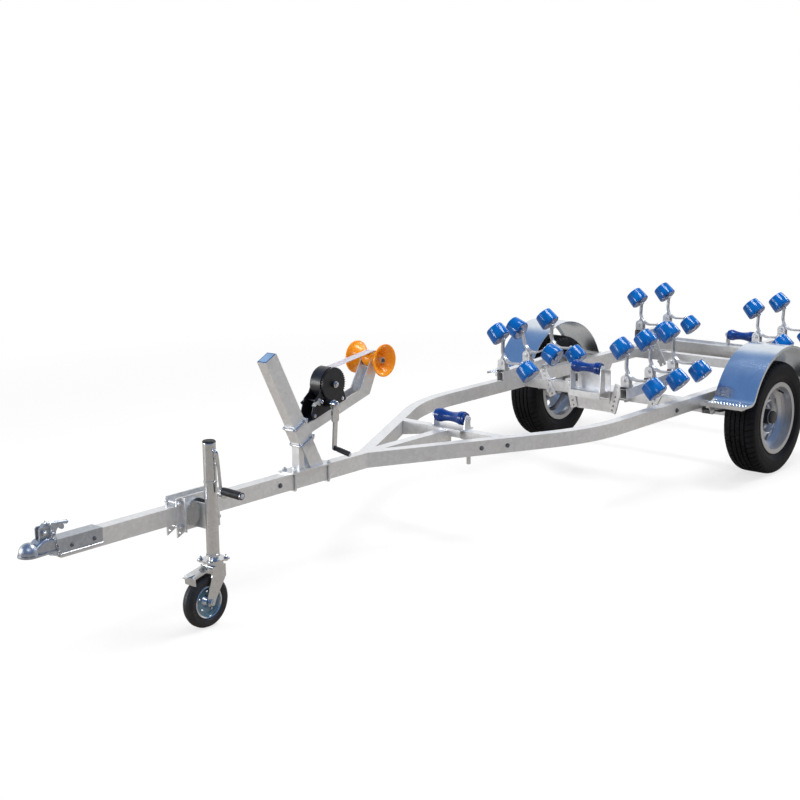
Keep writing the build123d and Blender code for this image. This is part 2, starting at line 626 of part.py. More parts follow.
def jockey_fork():
    """The caster's swivel ring and raked fork, with the foot brake over the wheel."""
    x = JACK_STATION
    y = -JACK_OFFSET
    axle_x = x - JACK_TRAIL
    inner = JACK_WHEEL_WIDTH / 2 + FORK_GAP
    outer = inner + FORK_PLATE
    top = SWIVEL_TOP - SEAT_GAP
    crown = top - SWIVEL_DEPTH
    fork = rod((x, y, crown), (x, y, top), SWIVEL_RADIUS)
    fork += block(x - 34, x + 30, y - outer, y + outer, crown - FORK_PLATE, crown)
    outline = [(axle_x - 15, JACK_WHEEL_RADIUS - 12), (axle_x + 12, JACK_WHEEL_RADIUS - 15),
               (axle_x + 26, JACK_WHEEL_RADIUS + 10), (x + 30, crown - 45), (x + 30, crown), (x - 34, crown),
               (x - 34, crown - 20), (axle_x - 16, JACK_WHEEL_RADIUS + 24)]
    fork += side_plate(outline, y - outer, y - inner)
    fork += side_plate(outline, y + inner, y + outer)
    fork += tube_y(axle_x, JACK_WHEEL_RADIUS, y - outer - 12, y + outer + 12, JACK_AXLE_RADIUS)
    for side in (-1, 1):
        fork += nut_y(axle_x, JACK_WHEEL_RADIUS, y + side * outer, y + side * (outer + 9), 12)
    pedal_top = crown - 2
    pedal = [(PEDAL_FRONT, pedal_top - 22), (PEDAL_FRONT + 4, pedal_top - 22 - PEDAL_FLAP),
             (PEDAL_FRONT + 9, pedal_top - 22 - PEDAL_FLAP), (PEDAL_FRONT + 7, pedal_top - 26),
             (x - 30, pedal_top - 6), (x - 30, pedal_top), (PEDAL_FRONT + 2, pedal_top - 19)]
    fork += side_plate(pedal, y - PEDAL_HALF_WIDTH, y + PEDAL_HALF_WIDTH)
    tongue = [(PEDAL_FRONT - 24, pedal_top - 17), (PEDAL_FRONT - 24, pedal_top - 20),
              (PEDAL_FRONT + 20, pedal_top - 20), (PEDAL_FRONT + 20, pedal_top - 14)]
    fork += side_plate(tongue, y - PEDAL_HALF_WIDTH / 3, y + PEDAL_HALF_WIDTH / 3)
    return fork - rod((x, y, crown - 2 * FORK_PLATE), (x, y, SWIVEL_TOP + CUT), SWIVEL_PIN_RADIUS + FIT_GAP)


keep("jockey_fork", jockey_fork())


def jockey_wheel():
    """A rounded solid tyre on a pressed disc with a rolled lip and a hub."""
    half = JACK_WHEEL_WIDTH / 2
    tread = JACK_WHEEL_RADIUS
    place = Pos(JACK_STATION - JACK_TRAIL, -JACK_OFFSET, JACK_WHEEL_RADIUS)
    tyre = turned([(JACK_DISC_RADIUS, -half + 9), (JACK_DISC_RADIUS + 5, -half + 2), (tread - 16, -half),
                   (tread - 5, -half + 8), (tread, -half + 19), (tread, half - 19), (tread - 5, half - 8),
                   (tread - 16, half), (JACK_DISC_RADIUS + 5, half - 2), (JACK_DISC_RADIUS, half - 9)])
    lip = JACK_DISC_RADIUS
    bore = JACK_AXLE_RADIUS + FIT_GAP
    disc = turned([(bore, -half + 2), (14, -half + 2), (16, -5), (lip - 12, -4), (lip - 6, -half + 7),
                   (lip, -half + 7), (lip, half - 7), (lip - 6, half - 7), (lip - 12, 4), (16, 5),
                   (14, half - 2), (bore, half - 2)])
    return place * tyre, place * disc


jockey_tyre, jockey_disc = jockey_wheel()
keep("jockey_tyre", jockey_tyre)
keep("jockey_disc", jockey_disc)


# ================================================================ winch post
POST_AXIS = Vector(-sin(radians(POST_RAKE)), 0, cos(radians(POST_RAKE)))
POST_FOOT = Vector(POST_STATION, 0, BASE_TOP)
POST_PLANE = Plane(origin=POST_FOOT, x_dir=(cos(radians(POST_RAKE)), 0, sin(radians(POST_RAKE))),
                   z_dir=POST_AXIS)
POST_FOOT_RUN = 60             # cut off below the base plate


def post_bar(start, end, grow=0.0):
    """A length of the post's own section, grown outwards by a wall."""
    return POST_PLANE * (Pos(0, 0, (start + end) / 2)
                         * Box(TUBE_HEIGHT + 2 * grow, TUBE_WIDTH + 2 * grow, end - start))


def winch_post():
    """A raked tube with a plug in its upper end."""
    post = post_bar(-POST_FOOT_RUN, POST_LENGTH) - post_bar(-POST_FOOT_RUN - CUT, POST_LENGTH - 12, -TUBE_WALL)
    return post - block(0, OVERALL_LENGTH, -BASE_WIDTH, BASE_WIDTH, 0, BASE_TOP)


keep("winch_post", winch_post())


def drawbar_clamp(station):
    """A square clamp round the drawbar, with its two ends standing out above the base plate."""
    side = TUBE_WIDTH / 2 + CLAMP_ROD + SEAT_GAP
    low = RAIL_BOTTOM - CLAMP_ROD - SEAT_GAP
    high = BASE_TOP + CLAMP_STAND
    points = [(station, -side, high), (station, -side, low), (station, side, low), (station, side, high)]
    return bent_rod(points, CLAMP_ROD + 1, CLAMP_ROD)


def post_base():
    """The base plate, its two clamps with their nuts, and the upright strut in front of the post."""
    half = BASE_WIDTH / 2
    base = block(BASE_FRONT, BASE_REAR, -half, half, RAIL_TOP, BASE_TOP)
    strut = block(STRUT_FRONT, STRUT_FRONT + STRUT_LENGTH, -STRUT_WIDTH / 2, STRUT_WIDTH / 2, BASE_TOP, 620)
    strut -= post_bar(-POST_FOOT_RUN, POST_LENGTH, SEAT_GAP)
    strut -= post_bar(COLLAR_LOW - SEAT_GAP, POST_LENGTH, COLLAR_WALL + 2 * SEAT_GAP)
    base += strut.solids().sort_by(Axis.Z)[0]
    side = TUBE_WIDTH / 2 + CLAMP_ROD + SEAT_GAP
    for station in BASE_CLAMPS:
        base += drawbar_clamp(station)
        for y in (-side, side):
            base += extrude(Plane(origin=(station, y, BASE_TOP)) * RegularPolygon(CLAMP_ROD * 2, 6), 7)
    return base


keep("post_base", post_base())

ARM_ALONG = Vector(cos(radians(ARM_SLOPE)), 0, sin(radians(ARM_SLOPE)))
ARM_ABOVE = Vector(-sin(radians(ARM_SLOPE)), 0, cos(radians(ARM_SLOPE)))
BOW_PIN_END = BOW_ROLLER_LENGTH / 2 - 20


def on_arm(along, above):
    """Station and height of a point given in the arm's own directions."""
    point = Vector(ARM_START[0], 0, ARM_START[1]) + ARM_ALONG * along + ARM_ABOVE * above
    return point.X, point.Z


def winch_arm():
    """A channel that slopes back from its collar and rises between the halves of the bow roller."""
    half = ARM_WIDTH / 2
    rise = Vector(cos(radians(ARM_RISE_ANGLE)), 0, sin(radians(ARM_RISE_ANGLE)))
    square = Vector(-rise.Z, 0, rise.X)
    centre = Vector(BOW_ROLLER_STATION, 0, BOW_ROLLER_HEIGHT)
    head = centre + rise * ARM_HEAD
    corners = [
        on_arm(-40, 0), on_arm(ARM_LENGTH, 0),
        ((head + square * ARM_HEAD).X, (head + square * ARM_HEAD).Z),
        ((head - square * ARM_HEAD).X, (head - square * ARM_HEAD).Z),
        on_arm(ARM_LENGTH + 46, -ARM_DEPTH), on_arm(-40, -ARM_DEPTH),
    ]
    arm = side_plate(corners, -half, half)
    trough = [on_arm(-60, ARM_DEPTH), on_arm(ARM_LENGTH + 120, 200), on_arm(ARM_LENGTH + 200, 200),
              on_arm(ARM_LENGTH + 40, -ARM_DEPTH + ARM_WALL), on_arm(-60, -ARM_DEPTH + ARM_WALL)]
    arm -= side_plate(trough, -half + ARM_WALL, half - ARM_WALL)
    web_top = BOW_ROLLER_HEIGHT - BOW_SPOOL_RADIUS - BOW_WEB_GAP
    arm -= block(BOW_ROLLER_STATION - 100, BOW_ROLLER_STATION + 100, -half + ARM_WALL, half - ARM_WALL,
                 web_top, BOW_ROLLER_HEIGHT + 100)
    arm += tube_y(BOW_ROLLER_STATION, BOW_ROLLER_HEIGHT, -BOW_PIN_END, BOW_PIN_END, BOW_PIN_RADIUS)
    for side in (-1, 1):
        first, last = sorted((side * BOW_PIN_END, side * (BOW_PIN_END + BOW_HEAD_LENGTH)))
        arm += nut_y(BOW_ROLLER_STATION, BOW_ROLLER_HEIGHT, first, last, BOW_HEAD_RADIUS)
    arm += post_bar(COLLAR_LOW, COLLAR_HIGH, COLLAR_WALL + SEAT_GAP)
    return arm - post_bar(-POST_FOOT_RUN, POST_LENGTH + CUT, SEAT_GAP)


keep("winch_arm", winch_arm())


def bow_roller():
    """A waisted spool between the arm's cheeks, and a hollow bell outside each of them."""
    half = BOW_ROLLER_LENGTH / 2
    spool = ARM_WIDTH / 2 - ARM_WALL - BOW_SPOOL_GAP
    cheek = ARM_WIDTH / 2 + CUT
    bore = BOW_PIN_RADIUS + FIT_GAP
    barrel = Polyline((BOW_SPOOL_RADIUS, spool), (bore, spool), (bore, -spool), (BOW_SPOOL_RADIUS, -spool))
    crown = ThreePointArc((BOW_SPOOL_RADIUS, -spool), (BOW_SPOOL_RADIUS + BOW_SPOOL_BULGE, 0),
                          (BOW_SPOOL_RADIUS, spool))
    middle = revolve(make_face([barrel, crown]), Axis.Y)
    floor = cheek + BOW_BELL_FLOOR
    flare = Spline((BOW_BELL_NECK, cheek), (BOW_BELL_NECK + 8, cheek + 18), (BOW_BELL_RADIUS, half - 5),
                   tangents=[(0.1, 1), (1, 0.35)])
    lip = Polyline(flare @ 1, (BOW_BELL_RADIUS, half), (BOW_BELL_RADIUS - BOW_BELL_WALL, half))
    cup = Spline((BOW_BELL_RADIUS - BOW_BELL_WALL, half), (BOW_BELL_NECK + 6, cheek + 27),
                 (BOW_BELL_NECK - BOW_BELL_WALL, floor), tangents=[(-1, -0.35), (-0.6, -1)])
    back = Polyline(cup @ 1, (bore, floor), (bore, cheek), (BOW_BELL_NECK, cheek))
    bell = revolve(make_face([flare, lip, cup, back]), Axis.Y)
    place = Pos(BOW_ROLLER_STATION, 0, BOW_ROLLER_HEIGHT)
    return place * middle, place * bell, across(place * bell)


keep("bow_roller", *bow_roller())


# ================================================================ winch
def gear_outline():
    """A toothed ring round the origin."""
    points = []
    for tooth in range(GEAR_TEETH):
        for share, radius in ((-0.36, GEAR_ROOT), (-0.16, GEAR_RADIUS), (0.16, GEAR_RADIUS), (0.36, GEAR_ROOT)):
            angle = 2 * pi * (tooth + share) / GEAR_TEETH
            points.append((radius * cos(angle), radius * sin(angle)))
    return Polyline(*points, close=True)


WINCH_HALF = WINCH_INNER_WIDTH / 2
WINCH_GEAR_INNER = -WINCH_HALF - WINCH_PLATE - SEAT_GAP


def winch_frame():
    """Two cheeks on a base, the drum's shaft, the gear outside the left cheek, the pawl and the cover."""
    half = WINCH_HALF
    drum_x, drum_z = on_arm(*WINCH_DRUM)
    shaft_x, shaft_z = on_arm(*WINCH_SHAFT)
    pawl_x, pawl_z = on_arm(*WINCH_PAWL)
    outline = [on_arm(4, 0), on_arm(2, 26), on_arm(38, 74), on_arm(70, 86), on_arm(104, 122),
               on_arm(150, 132), on_arm(184, 118), on_arm(202, 66), on_arm(206, 0)]
    frame = side_plate(outline, -half - WINCH_PLATE, -half) + side_plate(outline, half, half + WINCH_PLATE)
    base = [on_arm(4, 0), on_arm(206, 0), on_arm(206, WINCH_PLATE), on_arm(4, WINCH_PLATE)]
    frame += side_plate(base, -half, half)
    frame += tube_y(shaft_x, shaft_z, -CRANK_PLANE + SEAT_GAP, half + 10, 9)
    frame += tube_y(drum_x, drum_z, WINCH_GEAR_INNER - GEAR_THICKNESS - 14, half + 14, DRUM_SHAFT_RADIUS)
    frame += nut_y(drum_x, drum_z, WINCH_GEAR_INNER - GEAR_THICKNESS - 10, WINCH_GEAR_INNER, 13)
    frame += tube_y(pawl_x, pawl_z, -half - WINCH_PLATE - 9, half + WINCH_PLATE + 9, 5)
    frame += nut_y(pawl_x, pawl_z, -half - WINCH_PLATE - 7, -half, 9)
    pawl = [on_arm(48, 50), on_arm(64, 46), on_arm(76, 62), on_arm(60, 70), on_arm(20, 64), on_arm(22, 54)]
    frame += side_plate(pawl, half + WINCH_PLATE, half + WINCH_PLATE + 5)
    gear_plane = Plane(origin=(drum_x, WINCH_GEAR_INNER + SEAT_GAP, drum_z), x_dir=(1, 0, 0), z_dir=(0, -1, 0))
    frame += extrude(gear_plane * make_face(gear_outline()), GEAR_THICKNESS + SEAT_GAP)
    start = radians(WINCH_HOOD_START + ARM_SLOPE)
    end = radians(WINCH_HOOD_END + ARM_SLOPE)
    hood = []
    for radius, first, last in ((WINCH_HOOD_RADIUS + WINCH_HOOD_WALL, start, end),
                                (WINCH_HOOD_RADIUS, end, start)):
        for angle in (first, (first + last) / 2, last):
            hood.append((drum_x + radius * cos(angle), 0, drum_z + radius * sin(angle)))
    outer = ThreePointArc(hood[0], hood[1], hood[2])
    inner = ThreePointArc(hood[3], hood[4], hood[5])
    cover = extrude(make_face([outer, Line(hood[2], hood[3]), inner, Line(hood[5], hood[0])]),
                    half, both=True)
    return frame + cover


keep("winch_frame", winch_frame())


def winch_drum():
    """The drum with the strap wound on it, between two flanges."""
    x, z = on_arm(*WINCH_DRUM)
    half = WINCH_HALF - CUT
    flange = WINCH_HOOD_RADIUS - 2
    bore = DRUM_SHAFT_RADIUS + FIT_GAP
    drum = turned([(bore, -half), (flange, -half), (flange, -half + 3), (DRUM_RADIUS, -half + 3),
                   (DRUM_RADIUS, half - 3), (flange, half - 3), (flange, half), (bore, half)])
    return Pos(x, 0, z) * drum


keep("winch_drum", winch_drum())


def winch_crank():
    """A flat crank arm that hangs from its shaft, with a grip turned outwards."""
    x, z = on_arm(*WINCH_SHAFT)
    plane = -CRANK_PLANE
    half = WINCH_CRANK_WIDTH / 2
    foot_x = x - 8
    foot_z = z - WINCH_CRANK_LENGTH
    outline = [(x - half - 3, z + 4), (x - half + 3, z + half + 3), (x + half - 3, z + half + 3), (x + half + 3, z + 4),
               (foot_x + half - 2, foot_z - 4), (foot_x + half - 6, foot_z - 9), (foot_x - half + 6, foot_z - 9),
               (foot_x - half + 2, foot_z - 4)]
    crank = side_plate(outline, plane - WINCH_CRANK_THICKNESS, plane)
    crank += nut_y(x, z, plane - WINCH_CRANK_THICKNESS - 9, plane - WINCH_CRANK_THICKNESS, 14)
    grip_start = plane - WINCH_CRANK_THICKNESS
    crank += rod((foot_x, grip_start + 3, foot_z), (foot_x, grip_start - WINCH_GRIP_LENGTH, foot_z - WINCH_GRIP_DROP),
                 WINCH_GRIP_RADIUS)
    return crank


keep("winch_crank", winch_crank())


def winch_strap():
    """A flat strap in tension from the top of the wound drum to the top of the bow roller."""
    drum_x, drum_z = on_arm(*WINCH_DRUM)
    radius_a = DRUM_RADIUS + SEAT_GAP
    radius_b = BOW_SPOOL_RADIUS + BOW_SPOOL_BULGE + SEAT_GAP
    dx = BOW_ROLLER_STATION - drum_x
    dz = BOW_ROLLER_HEIGHT - drum_z
    lean = atan2(dz, dx) - asin((radius_b - radius_a) / hypot(dx, dz)) * -1
    normal = (-sin(lean), cos(lean))
    start = (drum_x + normal[0] * radius_a, drum_z + normal[1] * radius_a)
    end = (BOW_ROLLER_STATION + normal[0] * radius_b, BOW_ROLLER_HEIGHT + normal[1] * radius_b)
    outline = [start, end, (end[0] + normal[0] * STRAP_THICKNESS, end[1] + normal[1] * STRAP_THICKNESS),
               (start[0] + normal[0] * STRAP_THICKNESS, start[1] + normal[1] * STRAP_THICKNESS)]
    return side_plate(outline, -STRAP_WIDTH / 2, STRAP_WIDTH / 2)


keep("winch_strap", winch_strap())


# ================================================================ keel rollers
def keel_roller(station, height):
    """A waisted roller with a plain collar at each end."""
    half = KEEL_LENGTH / 2
    bore = KEEL_PIN_RADIUS + FIT_GAP
    shoulder = half - 12
    ends = Polyline((KEEL_END_RADIUS, shoulder - 16), (KEEL_END_RADIUS, shoulder), (KEEL_COLLAR_RADIUS, shoulder),
                    (KEEL_COLLAR_RADIUS, half), (bore, half), (bore, -half), (KEEL_COLLAR_RADIUS, -half),
                    (KEEL_COLLAR_RADIUS, -shoulder), (KEEL_END_RADIUS, -shoulder),
                    (KEEL_END_RADIUS, -shoulder + 16))
    waist = ThreePointArc((KEEL_END_RADIUS, -shoulder + 16), (KEEL_WAIST_RADIUS, 0),
                          (KEEL_END_RADIUS, shoulder - 16))
    return Pos(station, 0, height) * revolve(make_face([ends, waist]), Axis.Y)


def keel_ear(station, height, seat, y0, y1):
    """An upright plate that narrows to a rounded top round the pin."""
    ear = side_plate([(station - KEEL_EAR, seat), (station + KEEL_EAR, seat), (station + KEEL_EAR_TOP, height),
                      (station - KEEL_EAR_TOP, height)], y0, y1)
    return ear + tube_y(station, height, y0, y1, KEEL_EAR_TOP)


def keel_bracket(name, station, height, front, rear, seat):
    """A folded cradle for one keel roller: two ears on a base, with the pin and its nuts."""
    inner = KEEL_LENGTH / 2 + KEEL_SIDE_GAP
    outer = inner + KEEL_PLATE
    bracket = block(front, rear, -outer, outer, seat, seat + KEEL_PLATE)
    bracket += keel_ear(station, height, seat, -outer, -inner)
    bracket += keel_ear(station, height, seat, inner, outer)
    bracket += tube_y(station, height, -outer - 12, outer + 12, KEEL_PIN_RADIUS)
    bracket += nut_y(station, height, -outer - 9, -outer, 14)
    bracket += nut_y(station, height, outer, outer + 9, 14)
    skirt = 26
    bracket += block(front, front + KEEL_PLATE, -outer, outer, seat - skirt, seat + KEEL_PLATE)
    if name == "front":
        bracket -= block(front - CUT, rear + CUT, -TUBE_WIDTH / 2 - SEAT_GAP, TUBE_WIDTH / 2 + SEAT_GAP,
                         seat - skirt - CUT, seat)
        bracket -= block(DRAWBAR_REAR - SEAT_GAP, rear + CUT, -outer - CUT, outer + CUT, seat - skirt - CUT, seat)
    return bracket


def raised_web(base):
    """A box web in front of the cross beam and two punched side straps, which raise the middle roller."""
    face, half, low, high, lean = KEEL_WEB
    inside = half - KEEL_PLATE
    web = block(face, face + KEEL_PLATE, -half, half, CROSS_TOP, high)
    web += block(face, face + KEEL_PLATE, -half, half, low, CROSS_BOTTOM + 2 * KEEL_PLATE)
    for side in (-1, 1):
        first, last = sorted((side * inside, side * half))
        web += block(face, MID_CROSS_FRONT - SEAT_GAP, first, last, low, CROSS_TOP + KEEL_PLATE)
        plane = Plane(origin=(face - STEM_THICKNESS, side * (half + STEM_WIDTH / 2 - KEEL_PLATE), low),
                      x_dir=(0, side * cos(radians(lean)), -sin(radians(lean))), z_dir=(side, 0, 0))
        length = (CROSS_TOP + STEM_WIDTH - low) / cos(radians(lean))
        strap = extrude(plane * (Pos(0, length / 2) * Rectangle(STEM_WIDTH, length)), side * 2 * STEM_THICKNESS)
        for index in range(int(length / STEM_HOLE_PITCH)):
            hole = plane * (Pos(0, (index + 0.5) * STEM_HOLE_PITCH) * Circle(STEM_HOLE_RADIUS))
            strap -= extrude(hole, 3 * STEM_THICKNESS, both=True)
        web += strap
        first, last = sorted((0, side * (half + KEEL_SHELF)))
        web += block(face - STEM_THICKNESS, MID_CROSS_FRONT + CROSS_DEPTH, first, last, CROSS_TOP,
                     CROSS_TOP + KEEL_PLATE)
    for y in KEEL_CLAMPS:
        web += beam_clamp(MID_CROSS_FRONT, y, CROSS_TOP + KEEL_PLATE)
    return base + web


for row in KEEL_ROLLERS:
    keep("keel_roller_" + row[0], keel_roller(row[1], row[2]))
front_keel, mid_keel, tail_keel = [keel_bracket(*row) for row in KEEL_ROLLERS]
keep("keel_brackets", front_keel, raised_web(mid_keel), tail_keel)


# ================================================================ axle and springs
def axle():
    half = AXLE_SIZE / 2
    beam = block(AXLE_STATION - half, AXLE_STATION + half, -AXLE_END, AXLE_END, TYRE_RADIUS - half,
                 TYRE_RADIUS + half)
    return beam + tube_y(AXLE_STATION, TYRE_RADIUS, -HUB_OUTER + 12, HUB_OUTER - 12, STUB_RADIUS)


keep("axle", axle())
SPRING_SEAT = TYRE_RADIUS + AXLE_SIZE / 2
LEAF_COUNT = len(LEAF_HALVES)


def spring_clamp(station):
    """One of the two square clamps that hold a spring's middle down on the axle."""
    side = SPRING_WIDTH / 2 + CLAMP_ROD - CUT
    top = SPRING_SEAT + LEAF_COUNT * SPRING_LEAF + CLAMP_ROD - CUT
    low = TYRE_RADIUS - AXLE_SIZE / 2 - CLAMP_STAND - 6
    points = [(station, -SPRING_OFFSET - side, low), (station, -SPRING_OFFSET - side, top),
              (station, -SPRING_OFFSET + side, top), (station, -SPRING_OFFSET + side, low)]
    return bent_rod(points, CLAMP_ROD + 1, CLAMP_ROD)


def leaf_spring():
    """Curved leaves, the longest with an eye at each end, clamped down on the axle over a plate."""
    y0 = -SPRING_OFFSET - SPRING_WIDTH / 2
    y1 = -SPRING_OFFSET + SPRING_WIDTH / 2
    top_leaf = SPRING_SEAT + (LEAF_COUNT - 1) * SPRING_LEAF
    rise = SPRING_EYE_HEIGHT - top_leaf - SPRING_LEAF / 2
    radius = (SPRING_HALF ** 2 + rise ** 2) / (2 * rise)
    centre = top_leaf + SPRING_LEAF / 2 + radius
    profile = None
    for index, half in enumerate(LEAF_HALVES):
        sides = []
        for reach in (radius + (index - 0.5) * SPRING_LEAF, radius + (index + 0.5) * SPRING_LEAF):
            ends = [(AXLE_STATION + side * half, 0, centre - sqrt(reach ** 2 - half ** 2)) for side in (-1, 1)]
            sides.append(ThreePointArc(ends[0], (AXLE_STATION, 0, centre - reach), ends[1]))
        upper, lower = sides
        leaf = make_face([lower, Line(lower @ 1, upper @ 1), upper, Line(upper @ 0, lower @ 0)])
        profile = leaf if profile is None else profile + leaf
    spring = extrude(Pos(0, y0, 0) * profile, y1 - y0, dir=(0, 1, 0))
    for end in (-1, 1):
        spring += tube_y(AXLE_STATION + end * SPRING_HALF, SPRING_EYE_HEIGHT, y0, y1, SPRING_EYE_RADIUS)
    for end in (-1, 1):
        spring += spring_clamp(AXLE_STATION + end * (AXLE_SIZE / 2 + CLAMP_ROD + SEAT_GAP))
        bore_x = AXLE_STATION + end * SPRING_HALF
        spring -= tube_y(bore_x, SPRING_EYE_HEIGHT, y0 - CUT, y1 + CUT, EYE_BOLT_RADIUS + SEAT_GAP)
    low = TYRE_RADIUS - AXLE_SIZE / 2 - SEAT_GAP
    half = SADDLE_LENGTH / 2
    spring += block(AXLE_STATION - half, AXLE_STATION + half, y0 - 12, y1 + 12, low - 6, low)
    return spring


spring_left = leaf_spring()
keep("leaf_springs", spring_left, across(spring_left))


def spring_hanger(end):
    """A folded hanger under the rail with the bolt through a spring's eye."""
    station = AXLE_STATION + end * SPRING_HALF
    inner = SPRING_WIDTH / 2 + SEAT_GAP
    outer = inner + HANGER_PLATE
    hanger = block(station - 40, station + 40, -SPRING_OFFSET - outer, -SPRING_OFFSET + outer,
                   RAIL_BOTTOM - HANGER_PLATE, RAIL_BOTTOM)
    outline = [(station - 38, RAIL_BOTTOM - HANGER_PLATE), (station + 38, RAIL_BOTTOM - HANGER_PLATE),
               (station + 15, SPRING_EYE_HEIGHT), (station - 15, SPRING_EYE_HEIGHT)]
    for y0, y1 in ((-outer, -inner), (inner, outer)):
        hanger += side_plate(outline, -SPRING_OFFSET + y0, -SPRING_OFFSET + y1)
        hanger += tube_y(station, SPRING_EYE_HEIGHT, -SPRING_OFFSET + y0, -SPRING_OFFSET + y1, 15)
    hanger += tube_y(station, SPRING_EYE_HEIGHT, -SPRING_OFFSET - outer - 10, -SPRING_OFFSET + outer + 10,
                     EYE_BOLT_RADIUS)
    hanger += nut_y(station, SPRING_EYE_HEIGHT, -SPRING_OFFSET - outer - 7, -SPRING_OFFSET - outer, 12)
    return hanger + nut_y(station, SPRING_EYE_HEIGHT, -SPRING_OFFSET + outer, -SPRING_OFFSET + outer + 7, 12)


hangers = [spring_hanger(-1), spring_hanger(1)]
keep("spring_hangers", *hangers, *[across(piece) for piece in hangers])


# ================================================================ road wheels
def tyre():
    """A turned carcass with grooves round its tread."""
    half = TYRE_WIDTH / 2
    bead = RIM_WIDTH / 2 - RIM_WALL - 1
    flat = TREAD_HALF
    shoulder = ThreePointArc((TYRE_RADIUS, flat), (TYRE_RADIUS - 7, half - 12), (TYRE_RADIUS - 24, half - 3))
    wall = ThreePointArc((TYRE_RADIUS - 24, half - 3), (TYRE_RADIUS - 60, half), (RIM_LIP_RADIUS + 10, half - 12))
    foot = Polyline((RIM_LIP_RADIUS + 10, half - 12), (RIM_LIP_RADIUS, bead), (TYRE_BEAD_RADIUS, bead))
    inner = Line((TYRE_BEAD_RADIUS, bead), (TYRE_BEAD_RADIUS, -bead))
    tread = Line((TYRE_RADIUS, -flat), (TYRE_RADIUS, flat))
    upper = [shoulder, wall, foot]
    lower = [mirror(edge, about=Plane.XZ) for edge in upper]
    carcass = revolve(make_face([tread, inner] + upper + lower), Axis.Y)
    for place in GROOVE_PLACES:
        carcass -= ring_y(0, place, 0, TYRE_RADIUS + CUT, TYRE_RADIUS - GROOVE_DEPTH, GROOVE_WIDTH)
    return Pos(AXLE_STATION, -WHEEL_PLANE, TYRE_RADIUS) * carcass


def rim():
    """A drop-centre barrel with rolled lips, a dished disc with windows, a hub and its cap."""
    half = RIM_WIDTH / 2
    lip = RIM_LIP_RADIUS
    seat = RIM_SEAT_RADIUS
    well = RIM_WELL_RADIUS
    wall = RIM_WALL
    profile = [(lip, -half), (lip, -half + wall), (seat, -half + wall), (seat, -34), (well, -26), (well, 20),
               (seat, 30), (seat, half - wall), (lip, half - wall), (lip, half), (seat - wall, half),
               (seat - wall, 32), (well - wall, 22), (well - wall, -28), (seat - wall, -36), (seat - wall, -half)]
    body = turned(profile)
    front = -DISC_INSET
    edge = well - wall / 2
    disc = [(edge, front - 16), (edge, front - 16 + DISC_WALL), (WINDOW_OUTER, front + DISC_WALL),
            (WINDOW_INNER, front - 14 + DISC_WALL), (HUB_FLANGE_RADIUS, front + DISC_BOWL + DISC_WALL),
            (HUB_RADIUS - CUT, front + DISC_BOWL + DISC_WALL), (HUB_RADIUS - CUT, front + DISC_BOWL),
            (HUB_FLANGE_RADIUS, front + DISC_BOWL), (WINDOW_INNER, front - 14), (WINDOW_OUTER, front)]
    plate = turned(disc)
    window = extrude(Plane.XZ * make_face(Polyline((-WINDOW_HALF, WINDOW_OUTER), (WINDOW_HALF, WINDOW_OUTER),
                                                   (WINDOW_HALF * 0.7, WINDOW_INNER + 8),
                                                   (-WINDOW_HALF * 0.7, WINDOW_INNER + 8), close=True)),
                     half, both=True)
    for index in range(WINDOW_COUNT):
        plate -= Rot(0, index * 360 / WINDOW_COUNT, 0) * window
    body += plate
    outer = WHEEL_PLANE - HUB_OUTER
    body += tube_y(0, 0, outer + 14, WHEEL_PLANE - HUB_INNER, HUB_RADIUS)
    body += tube_y(0, 0, outer, outer + 15, HUB_CAP_RADIUS)
    body -= tube_y(0, 0, outer + 8, WHEEL_PLANE, STUB_RADIUS + FIT_GAP)
    return Pos(AXLE_STATION, -WHEEL_PLANE, TYRE_RADIUS) * body


tyre_left = tyre()
rim_left = rim()
keep("tyre_left", tyre_left)
keep("tyre_right", across(tyre_left))
keep("rim_left", rim_left)
keep("rim_right", across(rim_left))


# ================================================================ mudguards
def guard_outline(grow):
    """Everything under the arch and its two steps, swept together, grown outwards."""
    top = GUARD_STEP_HEIGHT - TYRE_RADIUS + grow
    disc = Circle(GUARD_RADIUS + grow)
    slab = Pos(0, top - GUARD_RADIUS) * Rectangle(2 * GUARD_STEP_REACH, 2 * GUARD_RADIUS)
    merged = disc + slab
    corners = [v for v in merged.vertices() if abs(v.Y - top) < 1 and abs(v.X) < GUARD_STEP_REACH - 1]
    return fillet(corners, GUARD_SWEEP - grow)


def mudguard():
    """One sheet: an arch that sweeps out into a flat step at each foot, with a turned-down outer edge."""
    width = GUARD_OUTER - GUARD_INNER
    plane = Plane(origin=(AXLE_STATION, -GUARD_INNER, TYRE_RADIUS), x_dir=(1, 0, 0), z_dir=(0, -1, 0))
    outer = guard_outline(0)
    floor = GUARD_STEP_HEIGHT - TYRE_RADIUS - GUARD_LIP
    below = Pos(0, floor - GUARD_RADIUS) * Rectangle(4 * GUARD_RADIUS, 2 * GUARD_RADIUS)
    skin = outer - guard_outline(-GUARD_SHEET) - Pos(0, -GUARD_SHEET - GUARD_LIP) * below
    skin -= Pos(0, GUARD_LIP - GUARD_SHEET) * below
    edge = outer - guard_outline(-GUARD_LIP) - below
    sheet = extrude(plane * skin, width)
    lip_plane = plane.offset(width - GUARD_SHEET)
    return sheet + extrude(lip_plane * edge, GUARD_SHEET)


guard_left = mudguard()
keep("mudguards", guard_left, across(guard_left))


def mudguard_bracket(end):
    """A bar under a step, welded to the rail's outer face."""
    foot_rise = GUARD_STEP_HEIGHT - TYRE_RADIUS
    foot = sqrt(GUARD_RADIUS ** 2 - foot_rise ** 2)
    middle = AXLE_STATION + end * (foot + GUARD_STEP_REACH) / 2
    top = GUARD_STEP_HEIGHT - GUARD_SHEET
    return block(middle - 14, middle + 14, -GUARD_OUTER + 30, -FRAME_WIDTH / 2, top - 26, top)


